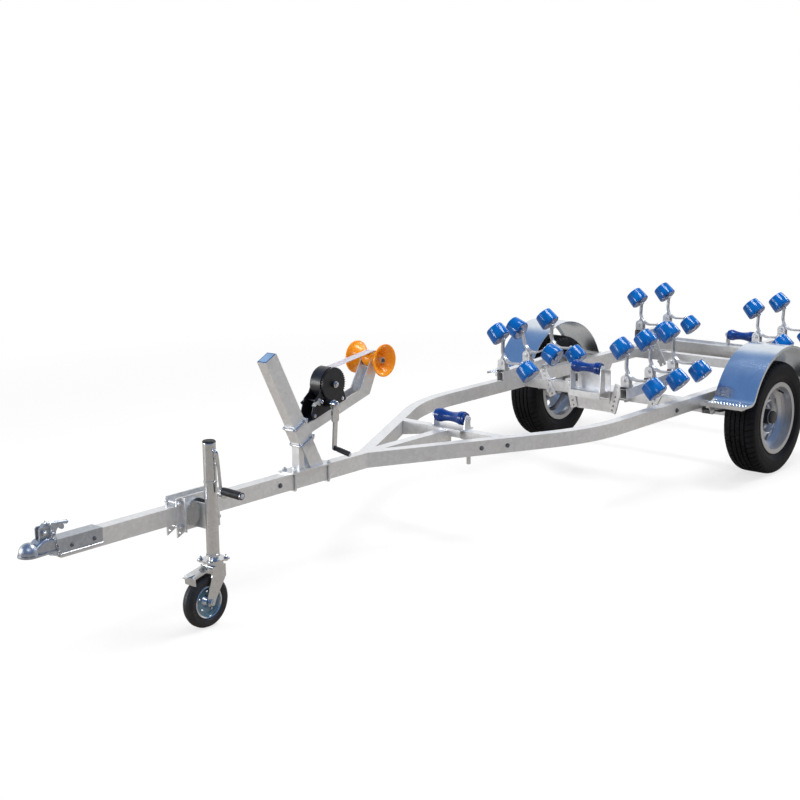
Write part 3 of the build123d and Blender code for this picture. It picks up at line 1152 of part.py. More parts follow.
guard_bars = [mudguard_bracket(-1), mudguard_bracket(1)]
keep("mudguard_brackets", *guard_bars, *[across(piece) for piece in guard_bars])


# ================================================================ roller cradles
def cradle_place(row, side):
    """Where a cradle's own frame lies: its beam along X, its middle at the origin."""
    name, station, height, tilt, spacing, count = row
    return Pos(station, side * CRADLE_OFFSET, height) * Rot(0, -tilt, 0)


def pivot_stations(row):
    spacing, count = row[4], row[5]
    return [(index - (count - 1) / 2) * spacing for index in range(count)]


def cradle_beam(row):
    """A square tube with an upright pair of plates, a bolt and two nuts for every arm."""
    half_length = pivot_stations(row)[-1] + BEAM_OVERHANG
    half_width = BEAM_WIDTH / 2
    half_height = BEAM_HEIGHT / 2
    beam = hollow_bar(-half_length, half_length, -half_width, half_width, -half_height, half_height,
                      TUBE_WALL, "X")
    inner = ARM_HUB_LENGTH / 2 + ARM_SIDE_GAP
    outer = inner + PIVOT_PLATE
    for station in pivot_stations(row):
        for start in (station - outer, station + inner):
            beam += block(start, start + PIVOT_PLATE, -PIVOT_PLATE_WIDTH / 2, PIVOT_PLATE_WIDTH / 2,
                          half_height, PIVOT_RISE)
            beam += rod((start, 0, PIVOT_RISE), (start + PIVOT_PLATE, 0, PIVOT_RISE), PIVOT_PLATE_WIDTH / 2)
        beam += rod((station - outer - 12, 0, PIVOT_RISE), (station + outer + 12, 0, PIVOT_RISE),
                    PIVOT_BOLT_RADIUS)
        for start in (station - outer - PIVOT_HEAD, station + outer):
            plane = Plane(origin=(start, 0, PIVOT_RISE), x_dir=(0, 1, 0), z_dir=(1, 0, 0))
            beam += extrude(plane * RegularPolygon(PIVOT_HEAD_RADIUS, 6), PIVOT_HEAD)
    return beam


def cradle_arm():
    """A bar bent round its pivot, lugs to its hub, and a stub axle for a roller at each end; drawn level."""
    inner_face = ROLLER_SPREAD - ROLLER_WIDTH / 2
    elbow = inner_face - 8
    path = FilletPolyline((0, -elbow, ROLLER_RISE), (0, 0, ARM_BAR_CORNER), (0, elbow, ROLLER_RISE),
                          radius=ARM_BAR_RADIUS)
    start = Plane(origin=path @ 0, x_dir=(1, 0, 0), z_dir=path % 0)
    arm = sweep(start * Rectangle(ARM_BAR_WIDTH, ARM_BAR_THICKNESS), path=path)
    half = ARM_BAR_WIDTH / 2
    lug_plane = Plane(origin=(-half, 0, 0), x_dir=(0, 1, 0), z_dir=(1, 0, 0))
    lug = Polyline((-ARM_HUB_RADIUS, 0), (ARM_HUB_RADIUS, 0), (24, 29), (-24, 29), close=True)
    arm += extrude(lug_plane * make_face(lug), ARM_BAR_WIDTH)
    arm += rod((-ARM_HUB_LENGTH / 2, 0, 0), (ARM_HUB_LENGTH / 2, 0, 0), ARM_HUB_RADIUS)
    for side in (-1, 1):
        far = side * (ROLLER_SPREAD + ROLLER_WIDTH / 2 - ROLLER_DISH - 2)
        arm += rod((0, side * (elbow - 6), ROLLER_RISE), (0, far, ROLLER_RISE), ROLLER_STUB_RADIUS)
        arm += rod((0, side * (elbow - 7), ROLLER_RISE), (0, side * (inner_face - 1), ROLLER_RISE),
                   ROLLER_STUB_RADIUS + 5)
    return arm - rod((-ARM_HUB_LENGTH, 0, 0), (ARM_HUB_LENGTH, 0, 0), PIVOT_BOLT_RADIUS + FIT_GAP)


def cradle_roller():
    """A barrel roller, deeply dished at its wide end, which faces -Y, and slightly at the other."""
    half = ROLLER_WIDTH / 2
    bore = ROLLER_STUB_RADIUS + STUB_GAP
    open_wall = ROLLER_OPEN_RADIUS - ROLLER_WALL
    small_wall = ROLLER_SMALL_RADIUS - ROLLER_SHOULDER
    return turned([(bore, -half + 4), (ROLLER_BOSS_RADIUS, -half + 4), (ROLLER_BOSS_RADIUS + 2, -half + ROLLER_DISH),
                   (open_wall - 5, -half + ROLLER_DISH), (open_wall, -half), (ROLLER_OPEN_RADIUS - 2, -half),
                   (ROLLER_OPEN_RADIUS, -half + 3), (ROLLER_OPEN_RADIUS, -half + 14),
                   (ROLLER_SMALL_RADIUS, half - ROLLER_SHOULDER - 2),
                   (ROLLER_SMALL_RADIUS - ROLLER_SHOULDER / 3, half - ROLLER_SHOULDER / 3),
                   (small_wall, half), (small_wall - 6, half), (small_wall - 9, half - ROLLER_SMALL_DISH),
                   (ROLLER_BOSS_RADIUS + 2, half - ROLLER_SMALL_DISH), (ROLLER_BOSS_RADIUS, half), (bore, half)])


def arm_place(row, side, station, label):
    flop = STIFF_ANGLE if label == STIFF_ARM else FLOP_ANGLE
    return cradle_place(row, side) * Pos(station, 0, PIVOT_RISE) * Rot(flop, 0, 0)


keep("cradle_beams", *[cradle_place(row, side) * cradle_beam(row) for row in CRADLES for side in (-1, 1)])
for row in CRADLES:
    for side, side_name in ((-1, "left"), (1, "right")):
        for index, station in enumerate(pivot_stations(row)):
            label = row[0] + "_" + side_name + "_" + str(index + 1)
            place = arm_place(row, side, station, label)
            keep("cradle_arm_" + label, place * cradle_arm())
            keep("cradle_rollers_" + label, *[place * Pos(0, end * ROLLER_SPREAD, ROLLER_RISE) * cradle_roller()
                                              for end in (-1, 1)])


def strap_clamp(front, y):
    """A square clamp that holds a punched strap against the front of a cross beam."""
    out = CLAMP_ROD + SEAT_GAP
    start = front - STEM_THICKNESS - CLAMP_STAND
    back = front + CROSS_DEPTH + out
    points = [(start, y, CROSS_TOP + out), (back, y, CROSS_TOP + out), (back, y, CROSS_BOTTOM - out),
              (start, y, CROSS_BOTTOM - out)]
    clamp = bent_rod(points, CLAMP_ROD + 1, CLAMP_ROD)
    for height in (CROSS_TOP + out, CROSS_BOTTOM - out):
        plane = Plane(origin=(front - STEM_THICKNESS - SEAT_GAP - 7, y, height), x_dir=(0, 1, 0), z_dir=(1, 0, 0))
        clamp += extrude(plane * RegularPolygon(2 * CLAMP_ROD, 6), 7)
    return clamp


def cradle_post(front, row):
    """A punched strap leaning outwards from a cross beam to a saddle round a cradle beam."""
    lean = radians(STEM_LEAN)
    under = -BEAM_HEIGHT / 2 - SEAT_GAP
    middle = front - STEM_THICKNESS / 2 - SEAT_GAP
    place = cradle_place(row, 1)
    floor = row[2] + (middle - row[1]) * tan(radians(row[3])) + under
    low = CROSS_BOTTOM - 28
    length = (floor - low) / cos(lean)
    plane = Plane(origin=(front - STEM_THICKNESS - SEAT_GAP, CRADLE_OFFSET, floor),
                  x_dir=(0, cos(lean), -sin(lean)), z_dir=(1, 0, 0))
    stem = extrude(plane * (Pos(0, STEM_WIDTH / 2 - length / 2) * Rectangle(STEM_WIDTH, length + STEM_WIDTH)),
                   STEM_THICKNESS)
    clamp_y = CRADLE_OFFSET - (floor - (CROSS_TOP + CROSS_BOTTOM) / 2) * tan(lean)
    for index in range(int(length / STEM_HOLE_PITCH)):
        hole = plane * (Pos(0, -(index + 0.9) * STEM_HOLE_PITCH) * Circle(STEM_HOLE_RADIUS))
        stem -= extrude(hole, 2 * STEM_THICKNESS, both=True)
    local_x = (middle - row[1]) / cos(radians(row[3]))
    stem -= place * block(local_x - 100, local_x + 100, -100, 100, under, 100)
    wall = BEAM_WIDTH / 2 + SEAT_GAP
    saddle = block(local_x - SADDLE_HALF, local_x + SADDLE_HALF, -wall - SADDLE_WALL, wall + SADDLE_WALL,
                   under - SADDLE_WALL, under + SADDLE_RISE)
    saddle -= block(local_x - 2 * SADDLE_HALF, local_x + 2 * SADDLE_HALF, -wall, wall, under,
                    under + 2 * SADDLE_RISE)
    return stem + place * saddle + strap_clamp(front, clamp_y)


posts = [cradle_post(front, row) for front, row in zip((MID_CROSS_FRONT, REAR_CROSS_FRONT), CRADLES)]
keep("cradle_posts", *posts, *[across(piece) for piece in posts])


# ================================================================ tail
def lamp_board():
    """A folded board with a raised seat for a number plate, under the tails of the rails."""
    half = FRAME_WIDTH / 2 + LAMP_BOARD_OVERHANG
    top = LAMP_BOARD_BOTTOM + LAMP_BOARD_HEIGHT
    board = block(RAIL_REAR, RAIL_REAR + LAMP_BOARD_SHEET, -half, half, LAMP_BOARD_BOTTOM, top)
    pad = block(RAIL_REAR, RAIL_REAR + LAMP_BOARD_SHEET + PLATE_PAD, -PLATE_HALF_LENGTH, PLATE_HALF_LENGTH,
                LAMP_BOARD_BOTTOM + PLATE_MARGIN, top - PLATE_MARGIN)
    foot = block(RAIL_REAR - 18, RAIL_REAR, -half, half, LAMP_BOARD_BOTTOM, LAMP_BOARD_BOTTOM + LAMP_BOARD_SHEET)
    return board + pad + foot


keep("lamp_board", lamp_board())


def tail_lamp():
    """A lamp with a rounded lens on the board's outer end."""
    outer = FRAME_WIDTH / 2 + LAMP_BOARD_OVERHANG - LAMP_MARGIN
    lamp = block(RAIL_REAR + LAMP_BOARD_SHEET, OVERALL_LENGTH, -outer, -outer + LAMP_LENGTH,
                 LAMP_BOARD_BOTTOM + LAMP_MARGIN, LAMP_BOARD_BOTTOM + LAMP_BOARD_HEIGHT - LAMP_MARGIN)
    lamp = fillet(lamp.edges().filter_by(Axis.X), 14)
    return fillet(lamp.faces().sort_by(Axis.X)[-1].edges(), 9)


lamp_left = tail_lamp()
keep("tail_lamps", lamp_left, across(lamp_left))

# ================================================================ files
os.makedirs("parts", exist_ok=True)
for name, shape in NODES.items():
    export_step(Pos(-OVERALL_LENGTH / 2, 0, 0) * shape, os.path.join("parts", name + ".step"))
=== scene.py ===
from math import asin, atan2, cos, hypot, pi, radians, sin, tan, tau

import bmesh
import bpy
from mathutils import Matrix, Vector


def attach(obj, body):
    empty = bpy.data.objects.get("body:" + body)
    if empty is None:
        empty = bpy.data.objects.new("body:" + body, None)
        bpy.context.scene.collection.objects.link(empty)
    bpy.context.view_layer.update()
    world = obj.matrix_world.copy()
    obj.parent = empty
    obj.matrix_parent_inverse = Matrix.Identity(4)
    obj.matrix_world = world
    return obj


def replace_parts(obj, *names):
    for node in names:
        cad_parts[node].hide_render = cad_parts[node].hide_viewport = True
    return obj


# A galvanised boat trailer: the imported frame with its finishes, and the pieces that carry its looks.
# Pieces are drawn in millimetres: a station behind the nose of the coupling, an offset from the centre
# plane (the right-hand side is positive) and a height over the floor. They are moved into the frame's
# own metres when their mesh is written.

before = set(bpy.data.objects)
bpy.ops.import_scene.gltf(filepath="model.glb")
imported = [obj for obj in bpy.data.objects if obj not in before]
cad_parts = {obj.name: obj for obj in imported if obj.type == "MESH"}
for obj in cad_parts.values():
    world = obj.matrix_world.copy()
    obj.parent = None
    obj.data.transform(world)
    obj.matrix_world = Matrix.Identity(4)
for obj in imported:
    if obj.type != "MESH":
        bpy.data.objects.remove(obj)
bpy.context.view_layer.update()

HALF_LENGTH = 2575
METRE = 1000


def spot(station, y, z):
    return Vector((station, y, z))


def heading(angle):
    """A direction in the plane along the trailer: 0 points to its tail, and a quarter turn points up."""
    return spot(cos(angle), 0, sin(angle))


def in_frame(point):
    """A point of the drawing in the frame's own axes."""
    return Vector(((point.x - HALF_LENGTH) / METRE, point.y / METRE, point.z / METRE))


# ======== materials
def set_values(node, values):
    """Sets a node's sockets by their names, with an underscore for each space."""
    for socket, value in values.items():
        node.inputs[socket.replace("_", " ")].default_value = value


def add_node(owner, kind, sources=None, **values):
    """A node in a material or a world, with its linked and its own values."""
    node = owner.node_tree.nodes.new("ShaderNode" + kind)
    set_values(node, values)
    for socket, source in (sources or {}).items():
        owner.node_tree.links.new(source, node.inputs[socket])
    return node


def shader(name, **constants):
    """A material and its Principled shader, with the values that are the same all over."""
    material = bpy.data.materials.new(name)
    material.use_nodes = True
    set_values(material.node_tree.nodes["Principled BSDF"], constants)
    return material


def feed(material, socket, value):
    """Links a value to a socket of the material's Principled shader."""
    principled = material.node_tree.nodes["Principled BSDF"]
    material.node_tree.links.new(value, principled.inputs[socket])


def texture(material, kind, scale, **settings):
    """A procedural texture in the object's own coordinates, with scale in cycles per metre."""
    place = add_node(material, "TexCoord").outputs["Object"]
    return add_node(material, "Tex" + kind, {"Vector": place}, Scale=scale, **settings)


def ramp(owner, value, *stops):
    """A colour ramp over a value in a material or a world; each stop is a position and a colour."""
    node = add_node(owner, "ValToRGB", {"Fac": value})
    elements = node.color_ramp.elements
    while len(elements) < len(stops):
        elements.new(0.5)
    for element, (position, colour) in zip(elements, stops):
        element.position = position
        element.color = (*colour, 1)
    return node.outputs["Color"]


def spread(material, value, low, high, start=0.3, end=0.7):
    """A value from start to end, mapped to the range from low to high."""
    ends = {"From_Min": start, "From_Max": end, "To_Min": low, "To_Max": high}
    return add_node(material, "MapRange", {"Value": value}, **ends).outputs["Result"]


def bump(material, value, strength, distance):
    """Raises a value as relief; the distance is in metres."""
    node = add_node(material, "Bump", {"Height": value}, Strength=strength, Distance=distance)
    feed(material, "Normal", node.outputs["Normal"])


def multiplied(material, first, second):
    """Two colours multiplied."""
    node = add_node(material, "Mix", Factor=1)
    node.data_type = "RGBA"
    node.blend_type = "MULTIPLY"
    material.node_tree.links.new(first, node.inputs["A"])
    material.node_tree.links.new(second, node.inputs["B"])
    return node.outputs["Result"]


def chosen(owner, share, first, second):
    """A mix of two shaders: where the share is 1, it is the second one."""
    return add_node(owner, "MixShader", {"Fac": share, 1: first, 2: second}).outputs["Shader"]


def metal(name, dark, light, low, high, metallic=0.9, spangle=70, ripple=0.05):
    """Zinc over steel: faint crystals, cloudy runs and an uneven gloss."""
    material = shader(name, Metallic=metallic)
    crystals = texture(material, "Voronoi", spangle)
    clouds = texture(material, "Noise", 6, Detail=5, Roughness=0.6)
    grain = texture(material, "Noise", 160, Detail=3)
    crystal = ramp(material, crystals.outputs["Color"], (0.2, dark), (0.8, light))
    cloud = ramp(material, clouds.outputs["Fac"], (0.35, (0.95, 0.955, 0.965)), (0.65, (1, 1, 1)))
    feed(material, "Base Color", multiplied(material, crystal, cloud))
    feed(material, "Roughness", spread(material, clouds.outputs["Fac"], low, high))
    bump(material, grain.outputs["Fac"], ripple, 0.002)
    return material


def moulded(name, dark, light, low, high, grain=220, depth=0.1, **constants):
    """Moulded plastic, rubber or enamel: an almost even colour with a fine grain."""
    material = shader(name, **constants)
    clouds = texture(material, "Noise", 18, Detail=4)
    fine = texture(material, "Noise", grain, Detail=2)
    feed(material, "Base Color", ramp(material, clouds.outputs["Fac"], (0.35, dark), (0.65, light)))
    feed(material, "Roughness", spread(material, fine.outputs["Fac"], low, high))
    bump(material, fine.outputs["Fac"], depth, 0.001)
    return material


def woven(name, dark, light, pitch):
    """Polyester webbing: ribs across the strap, each a pitch wide in millimetres, slightly worn."""
    material = shader(name, Roughness=0.85)
    ribs = texture(material, "Wave", METRE / pitch / tau, Distortion=0.4)
    clouds = texture(material, "Noise", 60, Detail=3)
    tone = ramp(material, ribs.outputs["Fac"], (0.2, dark), (0.8, light))
    worn = ramp(material, clouds.outputs["Fac"], (0.3, (0.86, 0.86, 0.88)), (0.7, (1, 1, 1)))
    feed(material, "Base Color", multiplied(material, tone, worn))
    bump(material, ribs.outputs["Fac"], 0.5, 0.0008)
    return material


# by slot: the dark and the light tone, the least and the greatest roughness, and what else sets it apart
FINISHES = {
    "galvanised_steel": metal("galvanised", (0.68, 0.685, 0.69), (0.75, 0.755, 0.76), 0.30, 0.42, 0.65),
    "zinc_steel": metal("zinc_plate", (0.58, 0.59, 0.60), (0.66, 0.67, 0.68), 0.14, 0.24, 0.95, 160, 0.02),
    "spring_steel": metal("spring", (0.10, 0.10, 0.11), (0.16, 0.16, 0.17), 0.40, 0.60, 0.6, 90, 0.15),
    "silver_paint": metal("wheel_silver", (0.46, 0.47, 0.49), (0.52, 0.53, 0.55), 0.26, 0.36,
                          0.8, 400, 0.02),
    "black_rubber": moulded("rubber", (0.006, 0.006, 0.007), (0.014, 0.014, 0.015), 0.45, 0.7),
    "tyre": moulded("tyre_rubber", (0.003, 0.003, 0.004), (0.007, 0.007, 0.009), 0.45, 0.65,
                    320, 0.12, Specular_IOR_Level=0.16),
    "grey_plastic": moulded("grey_moulding", (0.42, 0.46, 0.52), (0.52, 0.56, 0.62), 0.3, 0.5),
    "black_paint": moulded("black_enamel", (0.004, 0.004, 0.006), (0.010, 0.010, 0.014), 0.28, 0.42,
                           90, 0.03),
    "webbing": woven("strap_webbing", (0.46, 0.44, 0.50), (0.72, 0.70, 0.76), 1.6),
    "orange_plastic": moulded("orange_polyurethane", (1.0, 0.30, 0.006), (1.0, 0.37, 0.012), 0.2, 0.32,
                              140, 0.01, Specular_IOR_Level=0.2, Subsurface_Weight=0.3,
                              Subsurface_Scale=0.01, Coat_Weight=0.3, Coat_Roughness=0.08),
    "dark_blue_plastic": moulded("dark_blue_roller", (0.002, 0.030, 0.19), (0.004, 0.050, 0.27), 0.22, 0.32,
                                 160, 0.01, Specular_IOR_Level=0.3, Coat_Weight=0.4, Coat_Roughness=0.06),
    "blue_plastic": moulded("blue_roller", (0.0, 0.090, 0.36), (0.0, 0.130, 0.48), 0.16, 0.22,
                            160, 0.004, Specular_IOR_Level=0.1, Coat_Weight=0.7, Coat_Roughness=0.09),
    "lamp_red": moulded("red_lens", (0.45, 0.005, 0.004), (0.62, 0.012, 0.008), 0.1, 0.2, 300, 0.03),
}
# looks of pieces whose slot has another look in the frame
# painted reflection: the mudguards' galvanised grey is tinted blue to stand in for the blue sky they mirror
GUARD_SHEET_SKY_TINT = metal("mudguard_sheet_painted_sky", (0.64, 0.70, 0.77), (0.68, 0.74, 0.81), 0.14, 0.22, 0.97, 40, 0.02)
COUPLING = metal("coupling_zinc", (0.40, 0.42, 0.45), (0.48, 0.50, 0.53), 0.34, 0.46, 0.95, 120, 0.03)
ARM_STEEL = metal("arm_steel", (0.42, 0.43, 0.45), (0.50, 0.51, 0.53), 0.28, 0.40, 0.8)
PLUG = moulded("post_plug_blue", (0.16, 0.30, 0.52), (0.22, 0.38, 0.62), 0.25, 0.4)
PLUG_EDGE = moulded("post_plug_edge", (0.008, 0.05, 0.20), (0.014, 0.08, 0.28), 0.25, 0.4)
DISC_PAINT = moulded("jockey_disc_paint", (0.10, 0.20, 0.28), (0.15, 0.27, 0.36), 0.18, 0.3, Coat_Weight=0.6)
AMBER = moulded("amber_lens", (0.80, 0.25, 0.01), (0.90, 0.32, 0.02), 0.1, 0.2, 300, 0.03)
CLEAR = moulded("white_lens", (0.75, 0.76, 0.78), (0.85, 0.86, 0.88), 0.1, 0.2, 300, 0.03)
# painted light: a pale lilac skin in the rollers' dishes stands in for the strong light falling into them
DISH_PAINTED_LIGHT = moulded("roller_core", (0.50, 0.52, 0.62), (0.62, 0.64, 0.74), 0.35, 0.5)
# columns: how the names of nodes start, and the look that they take in place of their slot's
NODE_LOOKS = (("mudguards", GUARD_SHEET_SKY_TINT), ("jockey_disc", DISC_PAINT), ("coupler", COUPLING),
              ("cradle_arm_", ARM_STEEL))


def dress_nodes():
    """Gives every node its look. A node keeps its shape unless a piece below stands for it."""
    for name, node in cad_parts.items():
        looks = [look for start, look in NODE_LOOKS if name.startswith(start)]
        for slot in node.material_slots:
            finish = slot.material.name.split(".")[0] if slot.material else ""
            slot.material = looks[0] if looks else FINISHES.get(finish, slot.material)


dress_nodes()


# ======== mesh helpers
def add_object(name, data):
    """A new object in the scene."""
    made = bpy.data.objects.new(name, data)
    bpy.context.scene.collection.objects.link(made)
    return made


def drawn(name, builder):
    """A new object with the mesh of a drawing."""
    mesh = bpy.data.meshes.new(name)
    builder.to_mesh(mesh)
    builder.free()
    return add_object(name, mesh)


def finish_mesh(name, builder, finish, body="frame", smooth_angle=35, look=None):
    """A piece that rides on a body and takes a slot's finish, or a look of its own."""
    for vertex in builder.verts:
        vertex.co = in_frame(vertex.co)
    bmesh.ops.recalc_face_normals(builder, faces=builder.faces)
    piece = drawn(name, builder)
    piece.data.materials.append(look or FINISHES[finish])
    for face in piece.data.polygons:
        face.use_smooth = True
    piece.data.set_sharp_from_angle(angle=radians(smooth_angle))
    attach(piece, body)
    return piece


def add_face(builder, corners):
    """A face from corners that may name one vertex twice."""
    kept = []
    for corner in corners:
        if corner not in kept:
            kept.append(corner)
    if len(kept) > 2:
        builder.faces.new(kept)


def bridge(builder, rings, closed_ring=True, closed_path=True):
    """Skins a row of rings that have as many points each."""
    count = len(rings[0])
    for k in range(len(rings) if closed_path else len(rings) - 1):
        ring, following = rings[k], rings[(k + 1) % len(rings)]
        for j in range(count if closed_ring else count - 1):
            add_face(builder, (ring[j], ring[(j + 1) % count], following[(j + 1) % count], following[j]))


def add_turned(builder, profile, centre, axis, steps, flutes=1):
    """Adds a form turned from rows of radius, distance along the axis and, if it has flutes, their depth.

    A profile that ends on the axis is left open, and any other one is closed to a ring."""
    axis = Vector(axis).normalized()
    side = axis.orthogonal().normalized()
    other = axis.cross(side)
    poles = {k: builder.verts.new(centre + axis * row[1]) for k, row in enumerate(profile) if row[0] == 0}
    rings = []
    for step in range(steps):
        angle = tau * step / steps
        out = side * cos(angle) + other * sin(angle)
        ring = []
        for k, (radius, along, *depth) in enumerate(profile):
            if k in poles:
                ring.append(poles[k])
                continue
            cut = depth[0] * (0.5 - 0.5 * cos(flutes * angle)) if depth else 0
            ring.append(builder.verts.new(centre + out * (radius - cut) + axis * along))
        rings.append(ring)
    bridge(builder, rings, closed_ring=profile[-1][0] != 0)


CHAMFER = 0.6  # at the corners of a bolt's head
WASHER = 1.6  # thickness


def add_hexagon(builder, place, axis, across, height):
    """A chamfered hexagon that stands on a place."""
    corner = across / 2 / cos(pi / 6)
    add_turned(builder, [(0, 0), (corner, 0), (corner, height - 2 * CHAMFER), (across / 2 - CHAMFER, height),
                         (0, height)], place, axis, 6)


def add_bolt(builder, place, axis, across, tail=0.0):
    """A washer and a hexagon on a seat, with a domed or a protruding end in the middle."""
    axis = Vector(axis).normalized()
    rim, rod, height = across * 0.78, across * 0.3, across * 0.45
    end = height + WASHER
    add_turned(builder, [(0, 0), (rim, 0), (rim, WASHER), (0, WASHER)], place, axis, 20)
    add_hexagon(builder, place + axis * WASHER, axis, across, height)
    add_turned(builder, [(0, end - 1), (rod, end - 1), (rod, end + tail), (rod - 1, end + tail + 1),
                         (0, end + tail + 1)], place, axis, 14)


def add_block(builder, low, high, edge=1.0):
    """A bar between two corners, with chamfered edges."""
    centre = (low + high) / 2
    made = bmesh.ops.create_cube(builder, size=1)
    for vertex in made["verts"]:
        vertex.co = Vector(tuple(centre[i] + vertex.co[i] * (high[i] - low[i]) for i in range(3)))
    edges = {link for vertex in made["verts"] for link in vertex.link_edges}
    bmesh.ops.bevel(builder, geom=list(edges), offset=edge, segments=2, affect="EDGES", profile=0.6)


def add_plate(builder, outline, thickness):
    """A flat plate: a closed outline of points, thickened along a vector."""
    near = [builder.verts.new(point) for point in outline]
    far = [builder.verts.new(point + thickness) for point in outline]
    builder.faces.new(near)
    builder.faces.new(list(reversed(far)))
    for k in range(len(near)):
        j = (k + 1) % len(near)
        builder.faces.new((near[k], near[j], far[j], far[k]))


def add_wire(builder, points, radius, sides=10, closed=False):
    """A round wire through points, with flat ends unless it closes on itself."""
    rings = []
    count = len(points)
    normal = None
    for k, point in enumerate(points):
        before = points[(k - 1) % count] if closed or k else point
        after = points[(k + 1) % count] if closed or k < count - 1 else point
        ahead = (after - before).normalized()
        normal = ahead.orthogonal() if normal is None else normal - ahead * normal.dot(ahead)
        normal.normalize()
        other = ahead.cross(normal)
        ring = []
        for j in range(sides):
            angle = tau * j / sides
            ring.append(builder.verts.new(point + (normal * cos(angle) + other * sin(angle)) * radius))
        rings.append(ring)
    bridge(builder, rings, closed_path=closed)
    if not closed:
        builder.faces.new(rings[0])
        builder.faces.new(rings[-1])


def turned_piece(name, body, finish, profile, place, axis, steps):
    """A piece that is one turned form."""
    builder = bmesh.new()
    add_turned(builder, profile, place, axis, steps)
    finish_mesh(name, builder, finish, body)


def round_shaft(centre, radius, angles):
    """Points on a circle about a shaft that lies across the trailer, each with its angle."""
    return [(centre + heading(angle) * radius, angle) for angle in angles]


def arc(centre, first, second, radius, start, end, count):
    """Points on an arc in the plane of two directions, with angles in degrees."""
    points = []
    for k in range(count):
        angle = radians(start + (end - start) * k / (count - 1))
        points.append(centre + (first * cos(angle) + second * sin(angle)) * radius)
    return points


ALONG = Vector((1, 0, 0))
LEFT = Vector((0, -1, 0))
RIGHT = Vector((0, 1, 0))
UP = Vector((0, 0, 1))
BOTH = (-1, 1)
SIDES = ((-1, "left"), (1, "right"))


# ======== road wheels
TYRE_RADIUS = 287.5
WHEEL_PLANE = 658  # offset of the wheels' middle planes
AXLE = (4035, 287.5)  # station and height
GROOVE = 7  # depth of the grooves round the tyre
PITCHES = 56  # tread blocks round the tyre
BLOCK_CUT = 5.0  # depth of the cuts across the shoulders
SIPE_CUT = 3.0  # and of the finer cuts across the ribs
TREAD_TWIST = 0.0011  # how far the cuts lean, in radians for each millimetre across
TREAD_DROP = 20  # and how far below the tread they still lean

# half of the tyre's section, from its middle to its bead
# columns: drop below the tread, offset, what is cut there
TYRE_HALF = (
    (0, 0, "rib"), (0, 9.5, "rib"), (GROOVE, 10.5, ""), (GROOVE, 15.5, ""), (0, 16.5, "rib"),
    (0, 25.5, "rib"), (0, 34.5, "rib"), (GROOVE, 35.5, ""), (GROOVE, 40.5, ""), (0, 41.5, "block"),
    (0.3, 50, "block"), (1.4, 60, "block"), (4, 68, "block"), (8.5, 75, "block"), (15, 80, "block"),
    (20, 81.8, ""), (24, 83, ""), (27, 84.2, ""), (29, 84, ""), (40, 85.4, ""), (52, 85.9, ""),
    (64, 85.2, ""), (71.5, 83.8, ""), (73.5, 84.6, ""), (76.5, 83.2, ""), (83.5, 80, ""), (91.5, 76, ""),
    (93.5, 76.8, ""), (97.5, 74, ""), (104.5, 69.5, ""), (112.5, 69, ""), (120.5, 69, ""))
# columns: place within a pitch, and the cut whose floor lies there
TREAD_STEPS = ((0, ""), (0.04, "block"), (0.18, "block"), (0.22, ""), (0.52, ""), (0.54, "rib"),
               (0.60, "rib"), (0.62, ""))


def tyre_rings():
    """The angles at which rings of the tyre lie, and which cut each of them is the floor of."""
    for pitch in range(PITCHES):
        for share, cut in TREAD_STEPS:
            yield tau * (pitch + share) / PITCHES, cut


def road_tyre(label, side):
    """A carcass with four grooves round it, blocks on its shoulders and fine cuts across its ribs."""
    builder = bmesh.new()
    outline = list(reversed(TYRE_HALF)) + [(drop, -offset, cut) for drop, offset, cut in TYRE_HALF[1:]]
    depth = {"block": BLOCK_CUT, "rib": SIPE_CUT}
    rings = []
    for angle, floor_of in tyre_rings():
        ring = []
        for drop, offset, cut in outline:
            radius = TYRE_RADIUS - drop - (depth[cut] if cut and cut == floor_of else 0)
            turn = angle + (offset * TREAD_TWIST if drop < TREAD_DROP else 0)
            ring.append(builder.verts.new(spot(AXLE[0] + radius * cos(turn), side * WHEEL_PLANE + offset,
                                               AXLE[1] + radius * sin(turn))))
        rings.append(ring)
    bridge(builder, rings)
    tyre = finish_mesh("road_tyre_" + label, builder, "tyre", "wheel_" + label, 30)
    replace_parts(tyre, "tyre_" + label)


NUT_COUNT = 5
NUT_CIRCLE = 53
NUT_SEAT = WHEEL_PLANE + 4  # the outer face of the wheel disc's flange
HUB_FACE = WHEEL_PLANE + 38
VALVE_CIRCLE = 150
VALVE_SEAT = WHEEL_PLANE + 34
VALVE_ANGLE = radians(55)
# columns: radius, distance from the seat
NUT_CONE = ((0, 0), (12.5, 0), (10.5, 4), (0, 4))
STUD_END = ((0, 16), (5.5, 16), (5.5, 20), (4.5, 21), (0, 21))
HUB_CAP = ((39, -34), (39.4, -2), (38, 0), (34, 1), (33, 4), (33, 14), (31, 17), (22, 19.5), (0, 20.5))
VALVE = ((0, 0), (6, 0), (4.5, 8), (3.4, 20), (3.4, 22), (4, 22), (4, 30), (3, 31), (0, 31))


def wheel_trim(label, side):
    """Wheel nuts on the disc, a black cap over the hub and a valve in the rim."""
    body = "wheel_" + label
    out = RIGHT * side
    nuts = bmesh.new()
    for index in range(NUT_COUNT):
        around = heading(tau * (index + 0.3) / NUT_COUNT)
        place = spot(AXLE[0], side * NUT_SEAT, AXLE[1]) + around * NUT_CIRCLE
        add_turned(nuts, NUT_CONE, place, out, 20)
        add_hexagon(nuts, place + out * 3, out, 18, 14)
        add_turned(nuts, STUD_END, place, out, 12)
    finish_mesh("wheel_nuts_" + label, nuts, "zinc_steel", body)
    hub = spot(AXLE[0], side * HUB_FACE, AXLE[1])
    turned_piece("hub_cap_" + label, body, "black_paint", HUB_CAP, hub, out, 48)
    outwards = heading(VALVE_ANGLE)
    foot = spot(AXLE[0], side * VALVE_SEAT, AXLE[1]) + outwards * VALVE_CIRCLE
    turned_piece("valve_" + label, body, "black_rubber", VALVE, foot, out * 0.9 - outwards * 0.35, 14)


